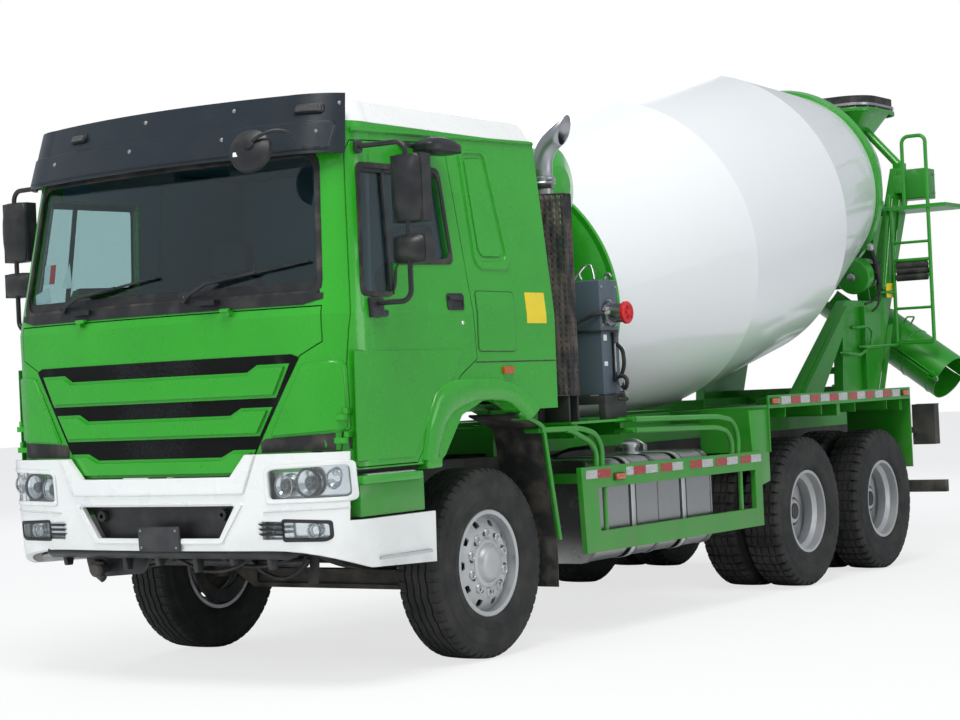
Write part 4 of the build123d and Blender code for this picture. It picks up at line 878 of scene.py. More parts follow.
def both_halves(right):
    """A closed outline from its right half, drawn from the top middle outwards and down."""
    return [(x, z) for x, z in right] + [(-x, z) for x, z in right][::-1]


def both_ends(name, outline, depth, place, look, corner=0, steps=4, hole=(), hole_corner=0, **more):
    """The same trim at both ends of the front; corner and hole_corner round its outlines."""
    for side_name, side in SIDES:
        drawn, cut = (mirrored(points) if side < 0 else points for points in (outline, hole))
        trim(f"{name}_{side_name}", rounded(drawn, corner, steps) if corner else drawn, depth, place, look,
            holes=[rounded(cut, hole_corner)] if hole else (), **more)


print("cab front at the middle", round(front_y(0, 1.5, CAB_PLANS), 3))

# %% [markdown]
# ## Front panel
# Three sculpted green bars cross a black mesh, wide at their tips and dropped in the middle.
# Each is a thick trim piece with a broad bevel, laid over one black panel whose mesh is a
# honeycomb of small dimples.

# %% Black mesh
f = finish("black_mesh", "black_plastic")
cells = f.node("ShaderNodeTexVoronoi", {"feature": "DISTANCE_TO_EDGE"},
    {"Vector": f.node("ShaderNodeMapping", None, {"Vector": f.place(), "Scale": (1, 0.2, 1.5)}),
        "Scale": 95.0, "Randomness": 0.15})
wire = f.ramp(cells, 0.02, 0.09, 1, 0)
# the cells are painted darker than the wire round them: painted shade in the dimples of the mesh
f.surface(Base_Color=f.mix(wire, (0.002, 0.002, 0.002), (0.01, 0.011, 0.012)), Roughness=0.6,
    Specular_IOR_Level=0.2, Normal=f.bump(wire, 0.004, 0.9))
grille_back = both_halves([(0.912, 1.752), (0.955, 1.735), (0.62, 1.165), (0.56, 1.15)])
trim("grille_mesh", grille_back, 0.003, on_front(lift=0.001), "black_mesh", "front_lid", 0)
BARS = (("bar_top", [(0.64, 1.668), (0.705, 1.705), (0.902, 1.705), (0.812, 1.53)]),
    ("bar_middle", [(0.52, 1.446), (0.59, 1.483), (0.788, 1.483), (0.7, 1.334)]),
    ("bar_low", [(0.45, 1.228), (0.53, 1.264), (0.672, 1.264), (0.612, 1.145), (0.59, 1.128)]),)
for name, right in BARS:
    trim(name, both_halves(right), 0.02, on_front(lift=0.003), "green_paint", "front_lid", 0.017,
        segments=4)
print("grille bars", len(BARS))

# %% Side pieces, cowl and painted shade in the gap over the bumper
both_ends("cheek", [(0.975, 1.7), (1.15, 1.712), (1.19, 1.69), (1.192, 1.345), (0.762, 1.322)], 0.016,
    on_front(lift=0.0005), "green_paint", 0.02, 2, bevel=0.009, segments=3)
# a thin dark sheet laid over the gap above the bumper: painted shade of the gap
both_ends("gap", [(0.7, 1.3), (0.735, 1.318), (1.192, 1.338), (1.192, 1.25), (0.706, 1.246)], 0.003,
    on_front(lift=0.0005), "rubber", bevel=0)
cowl = both_halves([(1.098, 2.062), (1.098, 2.03), (0.985, 2.004)])
trim("cowl", cowl, 0.006, on_front(), "black_plastic", bevel=0.002)

# the black band printed round the windscreen, and its rubber lip
SCREEN = [(-1.08, 2.06), (1.08, 2.06), (1, 2.8), (-1, 2.8)]
inner = [(-1.064, 2.122), (1.064, 2.122), (0.986, 2.784), (-0.986, 2.784)]
outer = [(-1.098, 2.04), (1.098, 2.04), (1.016, 2.82), (-1.016, 2.82)]
trim("screen_lip", rounded(outer, 0.09), 0.012, on_front(lift=-0.008), "rubber", bevel=0.004,
    holes=[rounded([(x * 0.985, z + (0.016 if z < 2.4 else -0.016)) for x, z in SCREEN], 0.07)])
trim("screen_band", rounded([(x * 0.998, z) for x, z in SCREEN], 0.07), 0.0015, on_front(lift=-0.0115),
    "black_plastic", bevel=0, holes=[rounded(inner, 0.07)])
print("windscreen surround done")

# %% [markdown]
# ## Sun visor
# The visor is one dark moulding with a step along it. Screws with washers hold it to the cab, and
# two small marker lamps sit in its upper band.

# %% Visor details
visor_face = on_front(VISOR_PLANS)
trim("visor_step", rounded(both_halves([(1.09, 2.966), (1.11, 2.95), (1.1, 2.806)]), 0.02, 3), 0.01,
    visor_face, "visor_plastic", bevel=0.009, step=0.05, segments=3)
screw_places = [(x, 3.058) for x in (-0.043, 0.553, 1.1)] + [(x, 2.905)
    for x in (-0.784, -0.121, 0.513, 1.04)]
heads = [lathe([(0, 0), (0, 0.013), (-0.003, 0.012), (-0.004, 0.007), (-0.007, 0.005), (-0.007, 0)],
        visor_face(x, z, 0.01 if z < 2.95 else 0), (0, 1, 0), 14) for x, z in screw_places]
piece("visor_screws", heads, "worn_steel")
for side_name, x in (("left", 0.985), ("right", -0.587)):
    lamp = [(x - 0.074, 3.008), (x + 0.074, 3.008), (x + 0.066, 3.058), (x - 0.066, 3.058)]
    trim(f"visor_lamp_{side_name}", rounded(lamp, 0.018, 4), 0.02, visor_face, "black_plastic", bevel=0.006,
        step=0.03)
    lens_outline = [(x - 0.056, 3.017), (x + 0.056, 3.017), (x + 0.05, 3.049), (x - 0.05, 3.049)]
    trim(f"visor_lens_{side_name}", rounded(lens_outline, 0.008, 3), 0.004, on_front(VISOR_PLANS, 0.0195),
        "smoked_lens", bevel=0.0015, step=0.03)
print("visor screws", len(screw_places))

# %% [markdown]
# ## Wipers
# Two arms pivot on the black cowl and lie across the bottom of the glass. Each arm tapers, and
# carries a thin rubber blade on a flat steel bow.

# %% Wipers
glass = on_front(lift=-0.01)
for k, (foot, knee, tip) in enumerate((((-0.7, 2.075), (-0.56, 2.135), (0.02, 2.21)),
        ((0.24, 2.075), (0.4, 2.15), (1.01, 2.232)))):
    arm = [glass(foot[0], foot[1], 0.02), glass((foot[0] * 2 + knee[0]) / 3, (foot[1] * 2 + knee[1]) / 3,
            0.05),
        glass(knee[0], knee[1], 0.05), glass((knee[0] + tip[0]) / 2, (knee[1] + tip[1]) / 2, 0.036)]
    blade_points = [(knee[0] + (tip[0] - knee[0]) * t, knee[1] + (tip[1] - knee[1]) * t)
        for t in (0.05, 0.2, 0.35, 0.5, 0.65, 0.8, 0.95, 1)]
    bow = tube([glass(x, z, 0.02) for x, z in blade_points], 0.007, bend=0, sides=8)
    rubber = tube([glass(x, z, 0.009) for x, z in blade_points], 0.005, bend=0, sides=6)
    post = lathe([(0, 0), (0, 0.026), (0.034, 0.022), (0.044, 0.012), (0.044, 0)],
        glass(foot[0], foot[1], 0.002), (0, -1, 0.1), 20)
    nozzle = block(*(glass(foot[0] + dx, foot[1] - 0.028, w) - Vector((0, 0, dz))
            for dx, w, dz in ((0.1, 0.05, 0.012), (0.23, -0.005, -0.014))))
    piece(f"wiper_{k + 1}", [tube(arm, [0.014, 0.013, 0.01, 0.007], bend=0, sides=8), bow, rubber, post,
            nozzle], "black_plastic")
print("wipers done")

# %% [markdown]
# ## Bumper, lamps and plate
# Under each clear cover sits a bright reflector bowl with round lamp rings. The lower intake is
# black, and the plate carrier hangs from it, with the plate left blank.

# %% Lamp insides
def bowl(centre, radius, depth, rings=5, sides=28):
    """A dish that faces forward, with its rim at the centre's plane."""
    outline = [(depth * (1 - (k / rings) ** 2), radius * k / rings + 0.0005) for k in range(rings + 1)]
    outline += [(-0.004, radius), (-0.004, radius + 0.005), (depth + 0.008, 0.004)]
    return lathe(outline, centre, (0, 1, 0), sides)


bumper_face = on_front(BUMPER_PLANS)
both_ends("lamp_back", [(0.772, 0.994), (0.772, 1.164), (1.19, 1.179), (1.19, 1)], 0.003,
    on_front(BUMPER_PLANS, -0.075), "chrome", bevel=0, step=0.03)
both_ends("fog_back", [(0.722, 0.797), (0.722, 0.888), (1.118, 0.878), (1.118, 0.797)], 0.003,
    on_front(BUMPER_PLANS, -0.06), "chrome", bevel=0, step=0.03)
for side_name, side in SIDES:
    bowls = [bowl(bumper_face(side * x, z, -0.03), r, 0.045)
        for x, z, r in ((0.85, 1.07, 0.056), (0.995, 1.085, 0.066), (1.14, 1.1, 0.05),
            (1.005, 0.838, 0.036))]
    piece(f"lamp_bowls_{side_name}", bowls, "chrome")
    eyes = [lathe([(0, 0), (-0.01, 0.012), (-0.004, 0.024), (0.01, 0.026), (0.03, 0.02), (0.03, 0)],
            bumper_face(side * x, z, -0.04), (0, 1, 0), 20) for x, z in ((0.85, 1.07), (0.995, 1.085))]
    piece(f"lamp_eyes_{side_name}", eyes, "smoked_lens")
    piece(f"lamp_ring_{side_name}", lathe([(-0.012, 0.066), (-0.012, 0.076), (0.02, 0.074), (0.02, 0.066)],
            bumper_face(side * 0.995, 1.085, -0.034), (0, 1, 0), 32), "smoked_lens")
# the fog lamp's black louvres, and the moulded frames round both lamps
for k in range(3):
    z = 0.815 + 0.026 * k
    louvre = [(0.722, z), (0.85, z), (0.85, z + 0.013), (0.702, z + 0.013)]
    for side_name, side in SIDES:
        trim(f"louvre_{side_name}_{k + 1}", mirrored(louvre) if side < 0 else louvre, 0.02,
            on_front(BUMPER_PLANS, -0.006), "black_plastic", bevel=0.004)
both_ends("lamp_frame", [(0.758, 0.976), (0.758, 1.158), (0.8, 1.184), (1.231, 1.2), (1.231, 0.986)], 0.009,
    on_front(BUMPER_PLANS, -0.002), "white_paint", 0.03, bevel=0.004, step=0.03,
    hole=[(0.784, 1.004), (0.784, 1.146), (0.812, 1.158), (1.214, 1.172), (1.214, 1.01)], hole_corner=0.025)
both_ends("fog_frame", [(0.842, 0.782), (0.842, 0.902), (1.134, 0.892), (1.134, 0.8), (1.095, 0.782)],
    0.006, on_front(BUMPER_PLANS, -0.001), "black_plastic", 0.02, bevel=0.003, step=0.03,
    hole=[(0.856, 0.8), (0.856, 0.884), (1.116, 0.874), (1.116, 0.81), (1.088, 0.8)], hole_corner=0.015)
print("lamps done")

# %% Bumper skin
# the pressed skin is higher in the middle than at its ends, so its lower edge is lifted there
SKIRT_FROM = 0.79
def lower_edge(x, y):
    """Height of the bumper's lower edge, from the front axle's frame."""
    drop = 0.045 * min(max((abs(x) - 0.8) / 0.44, 0), 1) ** 1.4
    drop += 0.056 * min(max((y + 1.42) / 0.2, 0), 1) + 0.022 * min(max((y + 1.22) / 0.5, 0), 1)
    return 0.735 - drop


verts = [v.co.copy() for v in NODES["bumper"].data.vertices]
lowest = min(v.z for v in verts)
for v in verts:
    if v.z < SKIRT_FROM:
        share = (SKIRT_FROM - v.z) / (SKIRT_FROM - lowest)
        v.z = SKIRT_FROM - share * (SKIRT_FROM - lower_edge(v.x, v.y - FRONT_AXLE_Y))
skin = piece("bumper_skin", (verts, [tuple(p.vertices) for p in NODES["bumper"].data.polygons]),
    "white_paint")
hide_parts("bumper")
both_ends("bumper_crease", [(0.7, 1.24), (0.716, 1.236), (0.628, 1.04), (0.612, 1.046)], 0.009, bumper_face,
    "white_paint", bevel=0.005, step=0.04)
both_ends("bumper_fold", [(0.742, 0.934), (1.205, 0.949), (1.205, 0.961), (0.736, 0.946)], 0.007,
    bumper_face, "white_paint", bevel=0.004, step=0.03)
trim("bumper_ledge", both_halves([(0.628, 1.046), (0.612, 1.03)]), 0.01, bumper_face, "white_paint",
    bevel=0.006)
REACH, STEPS = 1.16, 24
across = [-REACH + 2 * REACH * k / STEPS for k in range(STEPS + 1)]
floor_outline = [(x, front_y(x, 0.77, BUMPER_PLANS) + 0.045) for x in across] + [(1.19, -1.08),
    (-1.19, -1.08)]
piece("bumper_floor", slab(floor_outline, 0.008, lambda u, v, w: at(u, v, 0.772 + w)), "black_plastic")
print("bumper skin", len(verts))

# %% Intake, plate and bumper creases
rim = both_halves([(0.6, 1), (0.622, 0.98), (0.47, 0.772), (0.45, 0.766)])
hole = both_halves([(0.545, 0.974), (0.556, 0.966), (0.444, 0.806), (0.436, 0.803)])
trim("intake_rim", rim, 0.012, on_front(BUMPER_PLANS, lift=-0.004), "white_paint", bevel=0.009,
    holes=[hole], segments=3)
well = both_halves([(0.57, 0.99), (0.45, 0.79)])
trim("intake_back", well, 0.004, on_front(BUMPER_PLANS, lift=-0.075), "black_plastic", bevel=0)
hooks = [lathe([(-0.02, 0.012), (-0.02, 0.03), (0.02, 0.034), (0.03, 0.012)], bumper_face(x, z, -0.055),
        (0, 1, 0), 20) for x, z in ((-0.44, 0.92), (0.44, 0.925))]
piece("intake_plugs", hooks, "black_plastic")
plate = [(-0.112, 0.733), (0.186, 0.733), (0.186, 0.868), (-0.112, 0.868)]
trim("plate", rounded(plate, 0.012), 0.012, on_front(BUMPER_PLANS, lift=0.006), "blank_plate", bevel=0.003)
screws = [lathe([(0, 0), (0, 0.007), (-0.004, 0.006), (-0.005, 0)], bumper_face(x, z, 0.0185), (0, 1, 0),
        10) for x, z in ((-0.088, 0.846), (0.162, 0.846), (-0.088, 0.755), (0.162, 0.755))]
piece("plate_screws", screws, "worn_steel")
print("front done", len(MADE), "pieces")


# %% [markdown]
# ## Doors and mirrors
# A door's window sits in a black rubber seal, and a black bar parts the fixed quarter pane from
# the one that winds down. The handle is a dark pocket with a pull bar. Trim that belongs to a
# door rides on the door's body, so it swings with it.

# %% Doors
WINDOW = [(-1.18, 2.05), (-0.9, 2.05), (-0.85, 2.225), (-0.335, 2.24), (-0.365, 2.745), (-1.085, 2.735)]


def shrunk(outline, by):
    """Moves an outline's points towards its middle."""
    middle = Vector((sum(u for u, _ in outline), sum(v for _, v in outline))) / len(outline)
    made = []
    for u, v in outline:
        away = Vector((u, v)) - middle
        made.append((u - by * (1 if away.x > 0 else -1), v - by * (1 if away.y > 0 else -1)))
    return made


def both_sides(name, outline, depth, look, lift=0, door=False, **more):
    """The same flat trim on the left and the right side of the cab, or on its doors."""
    for side_name, side in SIDES:
        trim(f"{name}_{side_name}", outline, depth, on_side(side, lift), look, f"door_{side_name}" if door
            else "chassis", step=5, **more)


both_sides("window_seal", rounded(shrunk(WINDOW, -0.016), 0.05), 0.008, "rubber", -0.002, True, bevel=0.003,
    holes=[rounded(shrunk(WINDOW, 0.014), 0.05)])
both_sides("window_bar", [(-0.925, 2.055), (-0.895, 2.055), (-0.845, 2.74), (-0.875, 2.74)], 0.014,
    "black_plastic", -0.018, True, bevel=0.003)
both_sides("window_band", [(-1.085, 2.7), (-0.375, 2.712), (-0.365, 2.745), (-1.08, 2.735)], 0.012,
    "black_plastic", -0.016, True, bevel=0.003)
pocket = [(-0.43, 1.968), (-0.268, 1.97), (-0.266, 2.064), (-0.428, 2.062)]
both_sides("handle_pocket", rounded(pocket, 0.02), 0.006, "black_plastic", door=True, bevel=0.003,
    holes=[rounded(shrunk(pocket, 0.016), 0.014)])
both_sides("handle_well", rounded(shrunk(pocket, 0.014), 0.014), 0.001, "rubber", 0.0005, True, bevel=0)
pull = [(-0.42, 2.022), (-0.276, 2.024), (-0.276, 2.054), (-0.42, 2.052)]
both_sides("handle_pull", rounded(pull, 0.01), 0.018, "black_plastic", door=True, bevel=0.006)
# a shallow raised lower skin makes the crease at the waist
lower = [(-1.292, 1.18), (-0.79, 1.18), (-0.59, 1.432), (-0.372, 1.628), (-0.3, 1.757), (-1.288, 1.757)]
both_sides("door_skin", lower, 0.005, "green_paint", -0.001, True, bevel=0.0045, segments=3)
for side_name, side in SIDES:
    piece(f"door_lock_{side_name}", lathe([(-0.002, 0), (-0.002, 0.013), (0.003, 0.012), (0.005, 0.008),
                (0.005, 0)], on_side(side)(-0.29, 1.9, 0), (side, 0, 0), 20), "chrome", f"door_{side_name}")
print("doors done")

# %% [markdown]
# The mirrors are deep moulded shells on a bent steel tube. A shell is a box whose back is
# crowned: a subdivided cage gives that better than a bevel does. The curb-side mirror looks
# straight down from above the left door.

# %% Mirrors
def moulded(name, low, high, body, crown, corner=0.028):
    """A moulded shell: a rounded box with one crowned side."""
    low, high = Vector(low), Vector(high)
    mesh = bpy.data.meshes.new(name)
    work = bmesh.new()
    bmesh.ops.create_cube(work, size=1)
    centre, size = (low + high) / 2, high - low
    for v in work.verts:
        v.co = centre + Vector(v.co[i] * size[i] for i in range(3))
    bmesh.ops.subdivide_edges(work, edges=work.edges[:], cuts=5, use_grid_fill=True)
    for v in work.verts:
        away = Vector((v.co[i] - centre[i]) / (size[i] / 2) for i in range(3))
        for i in range(3):
            others = [abs(away[k]) for k in range(3) if k != i]
            if crown[i] and away[i] * crown[i] > 0:
                v.co[i] += crown[i] * abs(away[i]) * (1 - others[0] ** 2) * (1 - others[1] ** 2)
        push = Vector((abs(a) ** 6 * (1 if a > 0 else -1) for a in away))
        total = sum(abs(p) for p in push)
        if total > 1:
            v.co -= Vector(push[i] * corner * (total - 1) / total for i in range(3))
    work.to_mesh(mesh)
    work.free()
    mesh.shade_smooth()
    return settle(name, mesh, "black_plastic", body)


for side_name, side in SIDES:
    door = f"door_{side_name}"
    x0, x1 = sorted((side * 1.355, side * 1.545))
    moulded(f"mirror_shell_{side_name}", at(x0, -1.085, 2.405), at(x1, -0.975, 2.765), door, (0, -0.035, 0))
    moulded(f"mirror_wide_{side_name}", at(x0 - 0.005, -1.085, 2.195), at(x1 + 0.005, -0.975, 2.345), door,
        (0, -0.025, 0))
    for k, (z0, z1) in enumerate(((2.43, 2.74), (2.215, 2.325))):
        pane_outline = rounded([(x0 + 0.018, z0), (x1 - 0.018, z0), (x1 - 0.018, z1), (x0 + 0.018, z1)],
            0.03)
        piece(f"mirror_glass_{side_name}_{k + 1}", cross_plate(pane_outline, -0.976, -0.972), "chrome",
            door)
    foot = [box(side * 1.205, side * 1.262, -1.15, -1.04, 1.925, 2.03),
        box(side * 1.205, side * 1.25, -1.06, -0.985, 1.93, 1.965),
        box(side * 1.145, side * 1.172, -1.11, -1.05, 2.795, 2.865)]
    piece(f"mirror_foot_{side_name}", foot, "black_plastic", door, bevel=0.012, segments=3)
# curb mirror over the left door, and the round one over the windscreen
moulded("curb_mirror", at(1.165, -0.64, 2.815), at(1.335, -0.335, 2.885), "door_left", (0, 0, 0.03), 0.035)
piece("curb_mirror_arm", bar([(1.14, -0.7, 2.88), (1.175, -0.62, 2.862), (1.23, -0.5, 2.85)], 0.014, 0.03),
    "black_plastic", "door_left")
disc_at = at(0.862, -1.6, 2.8)
looking = Vector((0.25, -0.93, 0.28))
mirror_back = piece("front_mirror_back", lathe([(0.038, 0), (0.035, 0.045), (0.024, 0.085), (0.01, 0.112),
            (-0.016, 0.1175), (-0.016, 0)], disc_at, looking, 48), "black_plastic")
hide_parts("front_mirror")
looking.normalize()
piece("front_mirror_face", lathe([(-0.0165, 0), (-0.0165, 0.108), (-0.019, 0.106), (-0.022, 0)], disc_at,
        looking, 48), "chrome")
elbow = [disc_at + looking * 0.03 + Vector((0.01, 0, 0.02)), at(0.93, -1.61, 2.868), at(1, -1.56, 2.898),
    at(1.058, -1.5, 2.88), at(1.082, -1.45, 2.81), at(1.095, -1.4, 2.8), at(1.095, -1.33, 2.815)]
arm_parts = [tube(elbow, 0.0095, 0.05, 12), lathe([(-0.006, 0), (-0.006, 0.03), (0.01, 0.026),
            (0.014, 0.014), (0.014, 0)], elbow[0] - looking * 0.002, looking, 24)]
piece("front_mirror_arm", arm_parts, "black_plastic")
disc_across = looking.cross(Vector((0, 0, 1))).normalized() * -1
disc_up = disc_across.cross(looking)
tag_low = disc_at + looking * 0.025 - disc_across * 0.082 + disc_up * 0.016
piece("mirror_tag", slab(rounded([(0, 0), (0.034, 0), (0.034, 0.024), (0, 0.024)], 0.004, 2), 0.004,
        lambda u, v, w: tag_low + disc_across * u + disc_up * v + looking * w), "paper_label")
print("mirrors done")

# %% [markdown]
# ## Sleeper side, arch and steps
# Behind the door a tall pressing stiffens the skin, with a locker lid below it. The wheel arch
# wears a wide rounded flare in two parts, and under the door are two steps.

# %% Sleeper side
EMBOSS_OUT = [(-0.15, 2.885), (0.15, 2.892), (0.262, 2.262), (0.215, 2.198), (-0.07, 2.2), (-0.12, 2.245)]
EMBOSS_IN = [(-0.116, 2.855), (0.1, 2.868), (0.205, 2.29), (0.172, 2.255), (-0.05, 2.252), (-0.086, 2.285)]
LOCKER = [(-0.15, 2.082), (0.245, 2.08), (0.234, 1.734), (-0.15, 1.737)]
both_sides("emboss_ring", rounded(EMBOSS_OUT, 0.05), 0.01, "green_paint", -0.001, bevel=0.008,
    holes=[rounded(EMBOSS_IN, 0.04)], segments=3)
both_sides("emboss_panel", rounded(shrunk(EMBOSS_IN, 0.02), 0.035), 0.007, "green_paint", -0.001,
    bevel=0.006, segments=3)
both_sides("locker_gap", rounded(LOCKER, 0.03), 0.0012, "rubber", bevel=0)
both_sides("locker_lid", rounded(shrunk(LOCKER, 0.004), 0.028), 0.006, "green_paint", -0.001, bevel=0.003)
both_sides("arch_seam", [(-0.18, 1.683), (0.655, 1.683), (0.655, 1.676), (-0.18, 1.676)], 0.0012, "rubber",
    bevel=0)
lamp = [(0.084, 1.608), (0.192, 1.608), (0.192, 1.652), (0.084, 1.652)]
both_sides("side_lamp", rounded(lamp, 0.008), 0.016, "orange_lens", bevel=0.005)
# a thin drip rail under the roof
both_sides("drip_rail", [(-1.11, 2.908), (0.662, 2.962), (0.662, 2.985), (-1.11, 2.932)], 0.016,
    "green_paint", -0.004, bevel=0.006)
label = [(0.363, 1.898), (0.572, 1.898), (0.572, 2.078), (0.363, 2.078)]
trim("label", label, 0.0015, on_side(1), "yellow_label", bevel=0, step=5)

# %% Wheel arch flares
FLARE_OUT = [(-0.722, 1.165), (-0.69, 1.3), (-0.65, 1.42), (-0.583, 1.522), (-0.5, 1.572), (-0.417, 1.592),
    (-0.206, 1.6), (0.027, 1.592), (0.15, 1.572), (0.248, 1.541), (0.35, 1.485), (0.45, 1.41)]
FLARE_IN = [(-0.579, 1.118), (-0.56, 1.19), (-0.528, 1.26), (-0.495, 1.32), (-0.453, 1.366),
    (-0.353, 1.423), (-0.201, 1.459), (0.017, 1.462), (0.1, 1.455), (0.169, 1.438), (0.255, 1.395),
    (0.337, 1.337)]
FLARE_REACH = 1.25


def flare(side, first, last):
    """A rounded rib along the arch, from one station to another."""
    verts, faces = [], []
    section = ((0, -0.05), (0.03, -0.004), (0.12, 0.016), (0.35, 0.022), (0.7, 0.016), (0.92, 0.004),
        (1, -0.014), (1, -0.12))
    for i in range(first, last + 1):
        (u0, v0), (u1, v1) = FLARE_OUT[i], FLARE_IN[i]
        for share, lift in section:
            x = min(1.232 + lift, FLARE_REACH)
            verts.append(at(side * x, u0 + (u1 - u0) * share, v0 + (v1 - v0) * share))
    n = len(section)
    rows = last - first
    for r in range(rows):
        faces += [(r * n + i, r * n + i + 1, (r + 1) * n + i + 1, (r + 1) * n + i) for i in range(n - 1)]
        faces.append((r * n + n - 1, r * n, (r + 1) * n, (r + 1) * n + n - 1))
    faces += [tuple(range(n)), tuple(range(rows * n, rows * n + n))[::-1]]
    return verts, faces


for side_name, side in SIDES:
    piece(f"flare_front_{side_name}", flare(side, 0, 6), "green_paint", smooth_angle=50)
    piece(f"flare_rear_{side_name}", flare(side, 6, 11), "green_paint", smooth_angle=50)
    piece(f"flare_foot_{side_name}", box(side * 1.16, side * 1.249, -0.7, -0.56, 1.112, 1.172),
        "green_paint", bevel=0.014, segments=3)
print("arches done")

# %% Steps
for side_name, side in SIDES:
    # green upper step with its riser and tread plate, then the lip of the white lower one
    piece(f"step_upper_{side_name}", box(side * 0.96, side * 1.246, -1.268, -0.74, 1.064, 1.108),
        "green_paint", bevel=0.008, segments=3)
    piece(f"step_riser_{side_name}", box(side * 0.96, side * 1.216, -1.262, -0.7, 0.895, 1.07),
        "green_frame", bevel=0.006)
    tread = [box(side * 1.02, side * 1.238, -1.225, -0.8, 1.1085, 1.1125)]
    tread += [box(side * 1.02, side * 1.238, -1.215 + 0.024 * k, -1.207 + 0.024 * k, 1.1125, 1.1165)
        for k in range(17)]
    piece(f"step_tread_{side_name}", tread, "tread_aluminium")
    lip = [box(side * 1.2, side * 1.256, -1.15, -0.7, 0.668, 0.682)]
    lip += [box(side * 1.2, side * 1.256, -1.14 + 0.02 * k, -1.132 + 0.02 * k, 0.682, 0.687)
        for k in range(22)]
    piece(f"step_lip_{side_name}", lip, "tread_aluminium")
print("side done", len(MADE), "pieces")


# %% [markdown]
# ## Behind the cab
# The exhaust climbs behind the cab inside a steel guard, so that nobody touches the hot pipe.
# The guard is a bent sheet punched with rows of slots. Cutting hundreds of slots with booleans
# is slow and fragile, so the sheet is built as cells: each cell is four strips round a hole.

# %% Exhaust guard
STACK = (0.955, 1.04)
GUARD_PLAN = [(0.925, 1.11), (0.925, 0.925), (1, 0.925), (1.115, 1), (1.115, 1.1), (1.05, 1.155)]


def punched_sheet(plan, bottom, top, pitch, slot_width, slot_height, per_metre=26):
    """A bent sheet standing on its plan line, punched with rows of upright slots."""
    verts, faces = [], []
    rows = round((top - bottom) / pitch)
    for (ax, ay), (bx, by) in zip(plan, plan[1:]):
        length = hypot(bx - ax, by - ay)
        count = max(1, round(length * per_metre))
        for row in range(rows):
            for k in range(count):
                cell = (k / count, (k + 1) / count, bottom + row * pitch, bottom + (row + 1) * pitch)
                mid_u, mid_z = (cell[0] + cell[1]) / 2, (cell[2] + cell[3]) / 2
                du, dz = slot_width / length / 2, slot_height / 2
                hole = (mid_u - du, mid_u + du, mid_z - dz, mid_z + dz)
                base = len(verts)
                for u0, u1, z0, z1 in (cell, hole):
                    verts += [at(ax + u * (bx - ax), ay + u * (by - ay), z)
                        for u, z in ((u0, z0), (u1, z0), (u1, z1), (u0, z1))]
                faces += [(base + i, base + (i + 1) % 4, base + 4 + (i + 1) % 4, base + 4 + i)
                    for i in range(4)]
    return verts, faces


guard = piece("stack_guard", punched_sheet(GUARD_PLAN, 1.465, 2.7, 0.0385, 0.0045, 0.017), "scorched_steel")
wall = guard.modifiers.new("sheet", "SOLIDIFY")
wall.thickness = 0.0025
edges = [bar([(*p, z) for p in GUARD_PLAN], 0.004, 0.01, 6) for z in (1.467, 2.698)]
piece("stack_guard_rims", edges, "scorched_steel")
piece("stack_guard_foot", [box(0.905, 0.925, 0.94, 1.14, 1.305, 1.5),
        box(0.905, 1.1, 0.99, 1.01, 1.305, 1.47), box(0.905, 1.1, 1.09, 1.11, 1.305, 1.47)],
    "chassis_paint", bevel=0.003)
piece("stack_pipe", bar([(*STACK, 1.47), (*STACK, 2.76)], 0.058, 0, 24), "worn_steel")
print("guard faces", len(guard.data.polygons))

# %% [markdown]
# Above the guard a clamp holds the tail pipe. The pipe bends outwards and is cut on a slant,
# so rain runs off and the gas leaves sideways. A round tube is bent along its route first; then
# the last ring of points slides along the pipe until it lies in the plane of the cut.

# %% Tail pipe
route = [at(STACK[0], STACK[1], 2.74), at(STACK[0], STACK[1], 2.985), at(1.165, STACK[1], 3.11)]
PIPE_SIDES = 32
pipe_verts, pipe_faces = tube(route, 0.064, 0.26, PIPE_SIDES, caps=False)
flow = (route[-1] - route[-2]).normalized()
cut_at, cut_facing = at(1.122, STACK[1], 3.069), Vector((0.958, 0, -0.285))
for i in range(len(pipe_verts) - PIPE_SIDES, len(pipe_verts)):
    pipe_verts[i] = pipe_verts[i] + flow * ((cut_at - pipe_verts[i]).dot(cut_facing) / flow.dot(cut_facing))
tail = piece("tail_pipe", (pipe_verts, pipe_faces), "stack_steel", smooth_angle=50)
wall = tail.modifiers.new("wall", "SOLIDIFY")
wall.thickness = 0.003
# a dark disc inside the pipe: painted shade for the pipe's hollow inside
piece("tail_pipe_shade_disc", slab([(0.056 * cos(t), 0.056 * sin(t)) for t in (k * pi / 12 for k in range(24))],
        0.004, lambda u, v, w: route[-1] - flow * (0.17 + w) + Vector((-flow.z * u, v, flow.x * u))),
    "rubber")
ring = [(0, 0.06), (0, 0.072), (0.01, 0.078), (0.02, 0.074), (0.03, 0.078), (0.046, 0.078), (0.052, 0.066),
    (0.052, 0.06)]
piece("pipe_clamp", [lathe(ring, at(*STACK, 2.762), (0, 0, 1), 32),
        bar([(1.02, 0.985, 2.788), (1.062, 0.985, 2.788)], 0.007, 0, 8)], "stack_steel")
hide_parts("exhaust")
print("tail pipe ends at", round(max(v.z for v in pipe_verts), 3))

# %% [markdown]
# ## Oil cooler
# The cooler that keeps the drum's hydraulic drive cool stands on a frame beside the guard. Its
# upper cowl sleeves over the lower one; a filter with a red cap screws into its outer side, and
# a hose goes up to it. Hoses are tubes along a few points, with their corners well rounded.

